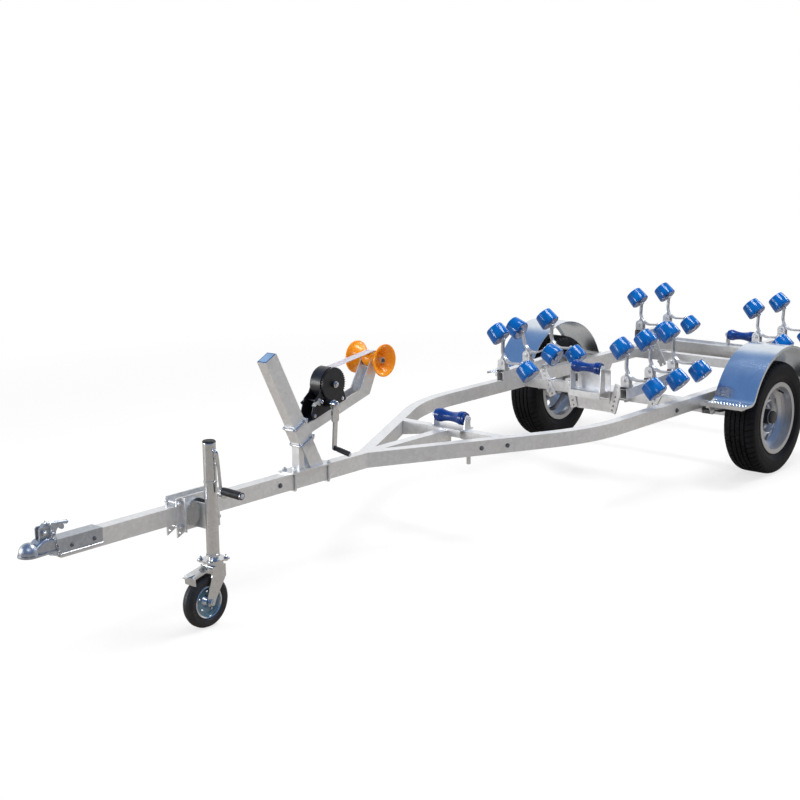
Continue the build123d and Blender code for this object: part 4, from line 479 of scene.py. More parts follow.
for side, label in SIDES:
    road_tyre(label, side)
    wheel_trim(label, side)

# ======== cradle rollers
ROLLER_OPEN = 52  # radius at the rim of the wide end
ROLLER_FLUTES = 24
# columns: radius, distance from the roller's middle towards its small end, depth of the flutes if any
ROLLER_PROFILE = (
    (8.2, -33), (15.5, -33), (17, -31.5), (17.6, -23), (20, -20), (37, -20), (40, -22),
    (42, -29), (44, -36.4), (45.4, -37), (47.4, -37), (48.6, -36.4), (51.4, -33),
    (ROLLER_OPEN, -31.6), (ROLLER_OPEN, -30.6), (50.4, -29.4), (50.4, -28.4), (51.6, -27.2),
    (51.6, -26.2), (50.2, -25), (50.2, -24), (51.2, -22.8), (51.2, -21), (50.6, -8),
    (49.6, 2), (49.0, 8, 0.7), (47.6, 22, 0.9), (46.8, 28, 0.7), (46.2, 31, 0.3),
    (44.4, 34.4), (40, 37), (35, 37), (32, 32), (19.5, 31), (17, 36.4), (8.2, 37))
# painted light: a pale skin over the wide end's dish stands in for the strong light that falls into it;
# columns: radius, distance from the middle
DISH_LIGHT_PROFILE = (
    (17.9, -20.6), (36.9, -20.6), (39.7, -22.6), (41.7, -29.4), (43.5, -36.2), (43.2, -36.3), (40.8, -30),
    (38.8, -23.8), (36.2, -22), (17.9, -22))
CAP_PROFILE = ((0, 0), (13, 0), (13, 1.4), (9.5, 1.6), (9.5, 4), (7, 6), (0, 6.6))
WIDE_SEAT, SMALL_SEAT = 33, 37  # from the roller's middle to the caps' seats on its two ends


def roller_places(node):
    """The middles of a node's two rollers, the left-hand one first, and the direction of their axis."""
    corners = [vertex.co * METRE for vertex in node.data.vertices]
    middle = sum(corners, Vector()) / len(corners)
    longest = max(corners, key=lambda corner: (corner - middle).length) - middle
    halves = ([], [])
    for corner in corners:
        halves[(corner - middle).dot(longest) > 0].append(corner)
    ends = sorted(((sum(half, Vector()) / len(half), half) for half in halves), key=lambda end: end[0].y)
    axis = (ends[1][0] - ends[0][0]).normalized()
    places = []
    for end, half in ends:
        reach = [(corner - end).dot(axis) for corner in half]
        places.append(end + axis * (min(reach) + max(reach)) / 2 + ALONG * HALF_LENGTH)
    return places, axis


def cradle_rollers(label):
    """Two rollers with ring ridges at their wide end, a pale skin of painted light in each dish and the caps on
    their axles.
    """
    body = "arm_" + label
    rollers = bmesh.new()
    dish_lights = bmesh.new()
    caps = bmesh.new()
    places, axis = roller_places(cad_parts["cradle_rollers_" + label])
    for place in places:
        add_turned(rollers, ROLLER_PROFILE, place, axis, 96, flutes=ROLLER_FLUTES)
        add_turned(dish_lights, DISH_LIGHT_PROFILE, place, axis, 48)
    for place, out, seat in ((places[0], -axis, WIDE_SEAT), (places[1], axis, SMALL_SEAT)):
        add_turned(caps, CAP_PROFILE, place + out * seat, out, 24)
    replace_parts(finish_mesh("rollers_" + label, rollers, "blue_plastic", body, 28), "cradle_rollers_" + label)
    # the pale skin over each dish is painted light, not a part of the roller
    finish_mesh("roller_dish_lights_" + label, dish_lights, "grey_plastic", body, look=DISH_PAINTED_LIGHT)
    finish_mesh("roller_caps_" + label, caps, "zinc_steel", body)


# columns: name, middle station, height of the beam's middle line, nose-down tilt in degrees,
# front of its post, pivot spacing, pivots
CRADLES = (("front", 3402, 519, 2.9, 3531, 215, 3), ("rear", 4650, 543, 0.0, 4631, 300, 2))
CRADLE_OFFSET = 365
BEAM_TOP = 25  # above the beam's middle line
BEAM_SIDE = 20
PAD_STARTS = (-36, 24)  # along the beam from a pivot
PAD_SIZE = (12, 28, 9)  # along, across and above the beam
SADDLE_LEAD = 3  # from the front of the post to the saddle's middle
SADDLE_BOLTS = (-20, 20)  # along the beam from the saddle's middle
SADDLE_CHEEK = 4.3
SADDLE_DROP = 14  # of its bolts under the beam's middle line


def beam_place(row, side):
    """A function that moves a point from a cradle beam's own directions to the trailer's."""
    _, station, height, degrees, *_ = row
    tilt = radians(degrees)

    def moved(x, y, z):
        return spot(station + x * cos(tilt) - z * sin(tilt), side * CRADLE_OFFSET + y,
                    height + x * sin(tilt) + z * cos(tilt))
    return moved


def beam_fittings():
    """Rubber pads beside the pivots, and the bolts through the saddles' cheeks."""
    pads = bmesh.new()
    bolts = bmesh.new()
    length, width, height = PAD_SIZE
    for row in CRADLES:
        _, station, _, degrees, post_front, spacing, pivots = row
        saddle = (post_front - SADDLE_LEAD - station) / cos(radians(degrees))
        for side in BOTH:
            moved = beam_place(row, side)
            for index in range(pivots):
                pivot = (index - (pivots - 1) / 2) * spacing
                for start in PAD_STARTS:
                    low = moved(pivot + start, -width / 2, BEAM_TOP)
                    high = moved(pivot + start + length, width / 2, BEAM_TOP + height)
                    add_block(pads, low, high, 2)
            for reach in SADDLE_BOLTS:
                for out in BOTH:
                    add_bolt(bolts, moved(saddle + reach, out * (BEAM_SIDE + SADDLE_CHEEK), -SADDLE_DROP),
                             (0, out, 0), 13)
    finish_mesh("beam_pads", pads, "black_rubber")
    finish_mesh("saddle_bolts", bolts, "zinc_steel")


for name, *_, pivots in CRADLES:
    for side, label in SIDES:
        for index in range(pivots):
            cradle_rollers(name + "_" + label + "_" + str(index + 1))
beam_fittings()

# ======== winch and bow roller
ARM_START = (1384, 644)  # station and height where the arm's top edge meets the collar
ARM_SLOPE = radians(16)
ARM_DIRECTION = heading(ARM_SLOPE)
ARM_NORMAL = spot(-sin(ARM_SLOPE), 0, cos(ARM_SLOPE))
# places on the winch: along the arm from its start, and above its top edge
WINCH_DRUM = (150, 94)
WINCH_SHAFT = (91, 38)
WINCH_PAWL = (62, 57)
PLATE_BOLTS = ((18, 14), (186, 14), (120, 112), (182, 92))
PAWL_OUTLINE = ((12, 60), (26, 52), (40, 56), (50, 44), (57, 46), (54, 56), (66, 66), (58, 74), (48, 66),
                (36, 66), (24, 68))
# offsets of faces
WINCH_PLATE = 32  # the outer faces of the winch's side plates
DRUM_BOSS = 50.5  # the boss in front of the gear
PAWL_BOSSES = (39.2, 37)  # on the left and on the right
PAWL_THICKNESS = 5
# columns: radius, distance from the left side plate, depth of the teeth if any
PINION_TEETH = ((0, 0), (16.5, 0, 4), (16.5, 9, 4), (0, 9))
PINION_SHAFT = ((0, 9), (12, 9), (12, 34), (10, 36), (0, 36))


def on_arm(along, above, y=0.0):
    """A point given in the winch arm's own directions."""
    return spot(ARM_START[0], y, ARM_START[1]) + ARM_DIRECTION * along + ARM_NORMAL * above


DRUM_RADIUS = 58  # of the wound strap
WOUND_RIDGES = 8
SPOOL_RADIUS = 33.5
BOW_ROLLER = (1770, 838)  # station and height
STRAP_HALF = 22
STRAP_THICKNESS = 2.6
STRAP_EDGE = 3  # width of its thinner edges
STRAP_STEPS = 24
# columns: offset, height over the strap's inner face
STRAP_SECTION = (
    (-STRAP_HALF, 0.4), (-STRAP_HALF + STRAP_EDGE, 0), (STRAP_HALF - STRAP_EDGE, 0), (STRAP_HALF, 0.4),
    (STRAP_HALF, STRAP_THICKNESS - 0.6), (STRAP_HALF - STRAP_EDGE, STRAP_THICKNESS),
    (-STRAP_HALF + STRAP_EDGE, STRAP_THICKNESS), (-STRAP_HALF, STRAP_THICKNESS - 0.6))


def strap_line():
    """The strap's inner face, from the drum over the bow roller's spool: points, each with its angle."""
    drum = on_arm(*WINCH_DRUM)
    spool = spot(BOW_ROLLER[0], 0, BOW_ROLLER[1])
    span = spool - drum
    up = pi / 2 + atan2(span.z, span.x) + asin((DRUM_RADIUS - SPOOL_RADIUS) / hypot(span.x, span.z))
    on_drum = round_shaft(drum, DRUM_RADIUS, [up + radians(turn) for turn in range(50, -1, -10)])
    on_spool = round_shaft(spool, SPOOL_RADIUS, [up - radians(turn) for turn in range(0, 89, 8)])
    start, end = on_drum[-1][0], on_spool[0][0]
    free = [(start.lerp(end, step / STRAP_STEPS), up) for step in range(1, STRAP_STEPS)]
    return on_drum + free + on_spool


def strap():
    """The webbing to the bow roller, and the turns wound on the drum."""
    builder = bmesh.new()
    rings = []
    for point, angle in strap_line():
        up = heading(angle)
        rings.append([builder.verts.new(point + up * high + RIGHT * y) for y, high in STRAP_SECTION])
    bridge(builder, rings, closed_path=False)
    builder.faces.new(rings[0])
    builder.faces.new(rings[-1])
    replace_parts(finish_mesh("strap_run", builder, "webbing"), "winch_strap")
    wound = bmesh.new()
    core = DRUM_RADIUS - 6
    ridges = [(DRUM_RADIUS + 0.35 - (0.5 if k % 2 else 0), -STRAP_HALF + 2 * STRAP_HALF * k / WOUND_RIDGES)
              for k in range(WOUND_RIDGES + 1)]
    add_turned(wound, [(core, -STRAP_HALF), *ridges, (core, STRAP_HALF)], on_arm(*WINCH_DRUM), RIGHT, 72)
    finish_mesh("strap_roll", wound, "webbing")


CRANK_PLANE = 78  # offset of the crank arm's inner face
CRANK_ARM = 9  # its thickness
CRANK_FOOT = (-8, -178)  # from the hub to the arm's lower end: along the trailer and up
CRANK_BOSS = 15  # radius round the hub
CRANK_HALF = 10  # and round the foot
# columns: half width and height from the hub
CRANK_BLOCK = ((13, -22), (18, -28), (18, -66), (CRANK_HALF, -74))
CRANK_COLLAR_SEAT = 7.2  # inside the arm
# columns: radius, distance outwards
CRANK_COLLAR = ((0, 0), (17, 0), (17, 5), (13, 7), (0, 7))
CRANK_WASHER = ((0, 0), (14, 0), (14, 4), (12, 5.6), (0, 5.6))
GRIP_LENGTH = 82
GRIP_DROP = 14
GRIP_PROFILE = ((0, 0), (10.5, 0), (11, 2), (10, 8), (9.4, 14),
                *((10.2 + (0.8 if k % 2 else 0), 18 + 6 * k) for k in range(10)),
                (10.4, GRIP_LENGTH - 3), (9, GRIP_LENGTH), (0, GRIP_LENGTH))
GRIP_END = ((0, 0), (7.4, 0), (7.4, 1.6), (5.5, 3.4), (0, 3.8))


def crank_parts():
    """A flat arm that widens to a block below its hub, and its black grip."""
    hub = on_arm(*WINCH_SHAFT, -CRANK_PLANE)
    foot = hub + spot(CRANK_FOOT[0], 0, CRANK_FOOT[1])
    outline = arc(hub, ALONG, UP, CRANK_BOSS, -20, 200, 13)
    outline += [hub + spot(-x, 0, z) for x, z in CRANK_BLOCK]
    outline += arc(foot, ALONG, UP, CRANK_HALF, 180, 360, 9)
    outline += [hub + spot(x, 0, z) for x, z in reversed(CRANK_BLOCK)]
    arm = bmesh.new()
    add_plate(arm, outline, LEFT * CRANK_ARM)
    add_turned(arm, CRANK_COLLAR, hub + RIGHT * CRANK_COLLAR_SEAT, LEFT, 28)
    add_turned(arm, CRANK_WASHER, hub + LEFT * CRANK_ARM, LEFT, 28)
    add_hexagon(arm, hub + LEFT * (CRANK_ARM + 4), LEFT, 18, 8)
    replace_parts(finish_mesh("crank_arm", arm, "zinc_steel"), "winch_crank")
    start = foot + LEFT * (CRANK_ARM - 2)
    axis = spot(0, -GRIP_LENGTH, -GRIP_DROP).normalized()
    turned_piece("crank_grip", "frame", "black_rubber", GRIP_PROFILE, start, axis, 28)
    turned_piece("crank_grip_end", "frame", "zinc_steel", GRIP_END, start + axis * GRIP_LENGTH, axis, 20)


def winch_fittings():
    """Bolts at the drum, the pawl and the plates, the pawl's finger and the pinion."""
    bolts = bmesh.new()
    add_bolt(bolts, on_arm(*WINCH_DRUM, -DRUM_BOSS), LEFT, 17, 2)
    add_bolt(bolts, on_arm(*WINCH_DRUM, WINCH_PLATE), RIGHT, 19, 3)
    add_bolt(bolts, on_arm(*WINCH_PAWL, -PAWL_BOSSES[0]), LEFT, 13, 2)
    add_bolt(bolts, on_arm(*WINCH_PAWL, PAWL_BOSSES[1]), RIGHT, 15, 2)
    for along, above in PLATE_BOLTS:
        add_bolt(bolts, on_arm(along, above, -WINCH_PLATE), LEFT, 10)
        add_bolt(bolts, on_arm(along, above, WINCH_PLATE), RIGHT, 10, 3)
    finish_mesh("winch_bolts", bolts, "zinc_steel")
    finger = bmesh.new()
    outline = [on_arm(along, above, -WINCH_PLATE - 1) for along, above in PAWL_OUTLINE]
    add_plate(finger, outline, LEFT * PAWL_THICKNESS)
    finish_mesh("winch_pawl", finger, "galvanised_steel")
    pinion = bmesh.new()
    seat = on_arm(*WINCH_SHAFT, -WINCH_PLATE)
    add_turned(pinion, PINION_TEETH, seat, LEFT, 96, flutes=12)
    add_turned(pinion, PINION_SHAFT, seat, LEFT, 24)
    finish_mesh("winch_pinion", pinion, "black_paint")


# the inside of a bell, from its spool to its mouth; columns: radius, offset
CUP_WALL = ((26, 46.5), (31, 50.5), (37, 56), (46, 64.6), (55, 72), (62.5, 79))
CUP_RIBS = 16
RIB_HEIGHT = 3  # at the spool; it falls to nothing at the mouth
RIB_THICKNESS = 2


def bow_roller_ribs():
    """Thin ribs down the inside of both bells, as the moulding has."""
    builder = bmesh.new()
    middle = spot(BOW_ROLLER[0], 0, BOW_ROLLER[1])
    crest = []
    for k, (radius, y) in enumerate(CUP_WALL):
        height = RIB_HEIGHT * (1 - k / (len(CUP_WALL) - 1))
        crest.append((radius - height, y + height + 0.3))
    outline = [(radius + 1, y - 0.6) for radius, y in CUP_WALL] + crest[::-1]
    for side in BOTH:
        for index in range(CUP_RIBS):
            out = heading(tau * index / CUP_RIBS)
            across = RIGHT.cross(out)
            points = [middle + out * radius + RIGHT * side * y - across for radius, y in outline]
            add_plate(builder, points, across * RIB_THICKNESS)
    finish_mesh("bow_roller_ribs", builder, "orange_plastic", "bow_roller", 20)


POST_FOOT = (1411, 454)  # station and height
POST_RAKE = radians(27)
POST_HALF = (32.5, 25)  # across the post and along y
COLLAR_HALF = (36.8, 29.3)
U_BOLTS = (129, 209)  # places of the two U-bolts along the post
U_BOLT_ROD = 4.5
U_BOLT_BEND = 8
LUG_SPAN = (22, 28)  # of the lugs behind the post's middle line
LUG_LENGTH = 18
PIN_END = 69  # offset of the bow roller's pin ends
PLUG_SEAT = 529  # along the post
# columns: name, look, thickness, gap to the post's outer faces
PLUG_LAYERS = (("post_plug_edge", PLUG_EDGE, 1.4, 1.2), ("post_plug", PLUG, 2.2, 5.5))


def on_post(along, across, y):
    """A point given along the winch post from its foot and square to it."""
    return spot(POST_FOOT[0] - sin(POST_RAKE) * along + cos(POST_RAKE) * across, y,
                POST_FOOT[1] + cos(POST_RAKE) * along + sin(POST_RAKE) * across)


POST_UP = on_post(1, 0, 0) - on_post(0, 0, 0)
POST_BACK = on_post(0, 1, 0) - on_post(0, 0, 0)


def u_bolt(bolts, lugs, along):
    """A rod bent round the collar, with its two nuts on lugs behind."""
    x, y = COLLAR_HALF[0] + U_BOLT_ROD, COLLAR_HALF[1] + U_BOLT_ROD
    bend = U_BOLT_BEND
    corners = [(30, -y), (-x + bend, -y), (-x + bend * 0.3, -y + bend * 0.3), (-x, -y + bend)]
    corners += [(across, -side) for across, side in reversed(corners)]
    add_wire(bolts, [on_post(along, across, side) for across, side in corners], U_BOLT_ROD, 12)
    near, far = LUG_SPAN
    for side in BOTH:
        lug = ((near, COLLAR_HALF[1]), (near, y + 8), (far, y + 8), (far, COLLAR_HALF[1]))
        add_plate(lugs, [on_post(along - LUG_LENGTH / 2, across, side * reach) for across, reach in lug],
                  POST_UP * LUG_LENGTH)
        add_bolt(bolts, on_post(along, far, side * y), POST_BACK, 13, 5)


def post_fittings():
    """U-bolts round the collar, bolts in the bow roller's pin and a plug in the post's top."""
    bolts = bmesh.new()
    lugs = bmesh.new()
    for along in U_BOLTS:
        u_bolt(bolts, lugs, along)
    finish_mesh("post_u_bolts", bolts, "zinc_steel")
    finish_mesh("post_lugs", lugs, "galvanised_steel")
    pins = bmesh.new()
    for side in BOTH:
        add_bolt(pins, spot(BOW_ROLLER[0], side * PIN_END, BOW_ROLLER[1]), (0, side, 0), 12, 1)
    finish_mesh("bow_pin_bolts", pins, "spring_steel")
    for name, look, thickness, gap in PLUG_LAYERS:
        plug = bmesh.new()
        x, y = POST_HALF[0] - gap, POST_HALF[1] - gap
        corners = [on_post(PLUG_SEAT, x * a, y * b) for a, b in ((-1, -1), (1, -1), (1, 1), (-1, 1))]
        add_plate(plug, corners, POST_UP * thickness)
        finish_mesh(name, plug, "grey_plastic", look=look)


strap()
crank_parts()
winch_fittings()
bow_roller_ribs()
post_fittings()

# ======== coupling
SLEEVE_SIDE = 29.5
SLEEVE_BOLTS = (195, 290)  # stations
SLEEVE_MIDDLE = 420
# columns: station, offset and height of the rolled edge under the sleeve
SLEEVE_RIM = ((98, 32.5, 409), (118, 32, 404), (138, 31.5, 399), (160, 31, 397.5), (325, 31, 397.5))
LATCH_SIDE = 13
LATCH_PIVOT = (94, 483.5)  # station and height
PIN_STATION = 120
PIN_HEIGHT = 478
RING_RADIUS = 9
CHAIN_TOP = spot(PIN_STATION, -LATCH_SIDE - 8, 497)
CHAIN_FOOT = spot(141, -37, 400)
CHAIN_LINKS = 8
LINK_OVERLAP = 5
LINK_WIDTH = 9
STAPLE_DEPTH = 7  # of the staple that holds the chain's foot on the sleeve
# radii of round wires
RIM_WIRE, PIN_WIRE, RING_WIRE, CHAIN_WIRE, STAPLE_WIRE = 3, 3, 1.6, 1.7, 3.4


def add_link(builder, centre, ahead, across, length):
    """One link of the chain: two straight runs with a half round at each end."""
    radius = LINK_WIDTH / 2
    half = length / 2 - radius
    points = arc(centre + ahead * half, across, ahead, radius, 0, 180, 7)
    points += arc(centre - ahead * half, across, ahead, radius, 180, 360, 7)
    add_wire(builder, points, CHAIN_WIRE, 8, closed=True)


def sleeve_fittings():
    """Bolts through the sleeve, the rolled edges under it and the latch's pivot bolt."""
    bolts = bmesh.new()
    for station in SLEEVE_BOLTS:
        for side in BOTH:
            add_bolt(bolts, spot(station, side * SLEEVE_SIDE, SLEEVE_MIDDLE), (0, side, 0), 10, 1)
    finish_mesh("coupling_bolts", bolts, "spring_steel")
    rim = bmesh.new()
    for side in BOTH:
        add_wire(rim, [spot(station, side * y, z) for station, y, z in SLEEVE_RIM], RIM_WIRE, 12)
    add_bolt(rim, spot(LATCH_PIVOT[0], -LATCH_SIDE - 6, LATCH_PIVOT[1]), LEFT, 12, 1)
    finish_mesh("coupling_rim", rim, "zinc_steel")


def latch_pin():
    """A pin through the latch with its ring, and the chain from a loop over the latch to the sleeve."""
    pin = bmesh.new()
    ends = [spot(PIN_STATION, y, PIN_HEIGHT) for y in (-LATCH_SIDE - 14, LATCH_SIDE + 12)]
    add_wire(pin, ends, PIN_WIRE)
    ring = spot(PIN_STATION, -LATCH_SIDE - 16, PIN_HEIGHT - 8)
    add_wire(pin, arc(ring, ALONG, UP, RING_RADIUS, 0, 345, 24), RING_WIRE, closed=True)
    finish_mesh("latch_pin", pin, "zinc_steel")
    chain = bmesh.new()
    run = CHAIN_FOOT - CHAIN_TOP
    ahead = run.normalized()
    flat = ahead.cross(LEFT).normalized()
    for index in range(CHAIN_LINKS):
        centre = CHAIN_TOP.lerp(CHAIN_FOOT, (index + 0.5) / CHAIN_LINKS)
        across = flat if index % 2 else ahead.cross(flat)
        add_link(chain, centre, ahead, across, run.length / CHAIN_LINKS + LINK_OVERLAP)
    over = spot(CHAIN_TOP.x, 0, CHAIN_TOP.z)
    add_wire(chain, arc(over, LEFT, UP, -CHAIN_TOP.y, 0, 180, 13), CHAIN_WIRE)
    add_wire(chain, [CHAIN_FOOT, CHAIN_FOOT + RIGHT * STAPLE_DEPTH], STAPLE_WIRE)
    finish_mesh("pin_chain", chain, "zinc_steel")


sleeve_fittings()
latch_pin()

# ======== jockey wheel
JACK = spot(748, -125, 0)  # the tube's axis at the floor
JACK_TUBE = 24  # radius
# columns: radius, height over the floor
JACK_CAP = ((23, 690), (24.9, 691), (24.6, 694.5), (22, 697.5), (18, 698.4), (17, 697), (0, 696.4))
COLLARS = ((262.5, 272), (540, 549))  # lower and upper edges
COLLAR_RADIUS = 26
PLUNGER_HEIGHT = 492
# columns: radius, distance from the seat
PLUNGER = ((0, 0), (9, 0), (9, 12), (5, 14), (5, 26), (10, 28), (10, 52), (8, 54), (0, 54))
CRANK_PIN = ((0, 0), (9, 0), (9, 4), (0, 4.6))
CRANK_PIN_HEIGHT = 664
GUIDE_NUTS = (610, 634)  # heights
# the grip hangs from the crank's foot; columns: radius, distance along it
JOCKEY_GRIP_START = JACK + spot(16, -47, 512)
JOCKEY_GRIP_AXIS = spot(4, -96, -5).normalized()
JOCKEY_GRIP = ((0, -1), (12.5, -1), (14.6, 2),
               *((14.7 + (0.9 if k % 2 else 0), 8 + 6.5 * k) for k in range(12)),
               (14.8, 90), (13.6, 96.6), (11, 97.4), (0, 97.4))
JOCKEY_GRIP_END = ((0, 97), (9.5, 97), (9.5, 98.4), (8, 99.4), (0, 99.4))
FOOT_BOLTS = [spot(x, y, 0) for x in (-36, 36) for y in (-29, 29)]
FOOT_PLATE = (246, 252)  # heights of its lower and upper face
JOCKEY_HUB = spot(702, -125, 100)
DISC_BOLTS = 5
DISC_BOLT_CIRCLE = 38
# columns: radius, distance from the wheel's middle plane
JOCKEY_RIM = ((62.4, 16), (63.2, 20.4), (61, 22), (57, 20), (55.4, 16))
JOCKEY_HUB_CONE = ((14, 20), (24, 6), (24, 4), (14, 4))


def jockey_tube_fittings():
    """A cap on the tube, its collars, a spring plunger, the crank's pin, two nuts and the grip."""
    # painted reflection: the cap takes black rubber for the dark reflection in its silver top
    turned_piece("jockey_cap_painted_dark_reflection", "jockey_tube", "black_rubber", JACK_CAP, JACK, UP, 40)
    collars = bmesh.new()
    inner = JACK_TUBE - 0.1
    for low, high in COLLARS:
        section = [(inner, low), (COLLAR_RADIUS, low + 1), (COLLAR_RADIUS, high - 1), (inner, high)]
        add_turned(collars, section, JACK, UP, 40)
    add_turned(collars, PLUNGER, JACK + spot(JACK_TUBE - 3, 0, PLUNGER_HEIGHT), ALONG * 0.9 - UP * 0.35, 24)
    add_turned(collars, CRANK_PIN, JACK + spot(0, -JACK_TUBE, CRANK_PIN_HEIGHT), LEFT, 20)
    for height in GUIDE_NUTS:
        add_hexagon(collars, JACK + spot(6, 1.6 - JACK_TUBE, height), LEFT, 9, 5)
    finish_mesh("jockey_collars", collars, "zinc_steel", "jockey_tube")
    grip = (JOCKEY_GRIP_START, JOCKEY_GRIP_AXIS)
    turned_piece("jockey_grip", "jockey_tube", "black_rubber", JOCKEY_GRIP, *grip, 36)
    turned_piece("jockey_grip_end", "jockey_tube", "grey_plastic", JOCKEY_GRIP_END, *grip, 28)


def jockey_wheel_fittings():
    """Bolts through the foot plate, and on both faces of the wheel a rim, bolts and a hub."""
    foot = bmesh.new()
    for place in FOOT_BOLTS:
        add_bolt(foot, JACK + place + UP * FOOT_PLATE[1], UP, 13, 4)
        add_hexagon(foot, JACK + place + UP * FOOT_PLATE[0], -UP, 13, 6)
    finish_mesh("foot_plate_bolts", foot, "zinc_steel", "jockey_leg")
    trim = bmesh.new()
    for side in BOTH:
        out = RIGHT * side
        add_turned(trim, JOCKEY_RIM, JOCKEY_HUB, out, 56)
        for index in range(DISC_BOLTS):
            place = JOCKEY_HUB + heading(tau * (index + 0.2) / DISC_BOLTS) * DISC_BOLT_CIRCLE
            add_hexagon(trim, place + out * 4.6, out, 9, 6)
        add_turned(trim, JOCKEY_HUB_CONE, JOCKEY_HUB, out, 36)
    finish_mesh("jockey_wheel_trim", trim, "zinc_steel", "jockey_wheel")


jockey_tube_fittings()
jockey_wheel_fittings()

# ======== frame, mudguards and tail
RAIL_SIDE = 525
RAIL_MIDDLE = 415
TUBE_HALF = 25
SPLAY_START = 1715  # where the rails leave the drawbar
SPLAY = radians(27.5)
SPLAY_BOLTS = (2181, 2291)  # stations of the bolts through the splayed part of a rail
RAIL_BOLTS = (3385, 4485, 5024, 5046)  # and through its parallel part
RAIL_BOLT_HEIGHT = 410
DRAWBAR_BOLT = 1200


def frame_bolts():
    """Bolts through the rails at the cross members and the springs, and one through the drawbar."""
    bolts = bmesh.new()
    for side in BOTH:
        for station in RAIL_BOLTS:
            add_bolt(bolts, spot(station, side * RAIL_SIDE, RAIL_BOLT_HEIGHT), (0, side, 0), 15, 1)
        for station in SPLAY_BOLTS:
            offset = TUBE_HALF + (station - SPLAY_START) * tan(SPLAY)
            outwards = (-sin(SPLAY), side * cos(SPLAY), 0)
            add_bolt(bolts, spot(station, side * offset, RAIL_MIDDLE), outwards, 13, 1)
        add_bolt(bolts, spot(DRAWBAR_BOLT, side * TUBE_HALF, RAIL_MIDDLE), (0, side, 0), 13, 1)
    finish_mesh("frame_bolts", bolts, "spring_steel")


STEP_TOP = 423  # height of the steps at both ends of a mudguard
GRIP_START = 578  # offset of the innermost grips
STEP_REACH = 404  # from the axle to the first row of grips
GRIP_ROWS = 3
GRIP_COLUMNS = 12
GRIP_PITCH = (14, 16.5)  # along the trailer and across it
GRIP_SHIFT = 8  # of every second row
GRIP = ((4.6, 0), (3.8, 1.0), (2.2, 1.7), (0, 1.9))  # columns: radius, height
STEP_BOLT_REACH = 383
STEP_BOLTS = (590, 720)  # offsets


def mudguard_fittings():
    """Rows of raised grips on the steps, and bolts into their brackets."""
    grips = bmesh.new()
    bolts = bmesh.new()
    for side in BOTH:
        for end in BOTH:
            for row in range(GRIP_ROWS):
                station = AXLE[0] + end * (STEP_REACH + GRIP_PITCH[0] * row)
                for column in range(GRIP_COLUMNS):
                    y = GRIP_START + GRIP_PITCH[1] * column + (GRIP_SHIFT if row % 2 else 0)
                    add_turned(grips, GRIP, spot(station, side * y, STEP_TOP), UP, 12)
            for y in STEP_BOLTS:
                add_bolt(bolts, spot(AXLE[0] + end * STEP_BOLT_REACH, side * y, STEP_TOP), UP, 10)
    # the grips share the mudguards' blue tint, a painted reflection of the sky
    finish_mesh("step_grips", grips, "galvanised_steel", look=GUARD_SHEET_SKY_TINT)
    finish_mesh("mudguard_bolts", bolts, "zinc_steel")


LAMP_FRONT = 5063
LAMP_REAR = 5150
LENS_FRONT = 5118
LAMP_OUTER = 613
LAMP_WIDTH = 150
LAMP_LOW = 350
LAMP_HIGH = 436
LENS_EDGE = 3  # of the housing round the lenses
LENS_GAP = 1.5  # between two lenses
LENS_RIBS = 8
RIB_EDGE = 14  # from the housing's edges to the first and last rib
RIB_HALF = 1.6
# columns: name, where the lens starts and ends as shares of the run from the inner edge, its look
LENSES = (("red", 0.36, 1.0, FINISHES["lamp_red"]), ("amber", 0.14, 0.36, AMBER), ("white", 0.0, 0.14, CLEAR))


def lamp_housings():
    """The housings of the tail lamps."""
    housing = bmesh.new()
    for side in BOTH:
        low, high = sorted((side * (LAMP_OUTER - LAMP_WIDTH), side * LAMP_OUTER))
        add_block(housing, spot(LAMP_FRONT, low, LAMP_LOW), spot(LENS_FRONT, high, LAMP_HIGH), 8)
    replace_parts(finish_mesh("lamp_housings", housing, "black_paint"), "tail_lamps")


def lamp_lens(name, first, last, look):
    """One lens on each lamp, ribbed across."""
    run = LAMP_WIDTH - 2 * LENS_EDGE
    inner = LAMP_OUTER - LAMP_WIDTH + LENS_EDGE
    lens = bmesh.new()
    for side in BOTH:
        low, high = sorted((side * (inner + run * first), side * (inner + run * last - LENS_GAP)))
        add_block(lens, spot(LENS_FRONT - 4, low, LAMP_LOW + LENS_EDGE),
                  spot(LAMP_REAR - 3, high, LAMP_HIGH - LENS_EDGE), 5)
        for rib in range(LENS_RIBS):
            z = LAMP_LOW + RIB_EDGE + (LAMP_HIGH - LAMP_LOW - 2 * RIB_EDGE) * rib / (LENS_RIBS - 1)
            add_block(lens, spot(LAMP_REAR - 8, low + 6, z - RIB_HALF),
                      spot(LAMP_REAR - 0.5, high - 6, z + RIB_HALF), 1)
    finish_mesh("lens_" + name, lens, "lamp_red", look=look)


frame_bolts()
mudguard_fittings()
lamp_housings()
for lens in LENSES:
    lamp_lens(*lens)

# ======== camera, floor and light
CAMERA_PLACE = spot(-2739.5, -4038.5, 1924.4)
CAMERA_YAW = radians(40.7)  # from +X towards +Y
CAMERA_PITCH = radians(11.8)  # below the horizon
CAMERA_ROLL = radians(-0.6)
LENS = 66.4
SENSOR = 36


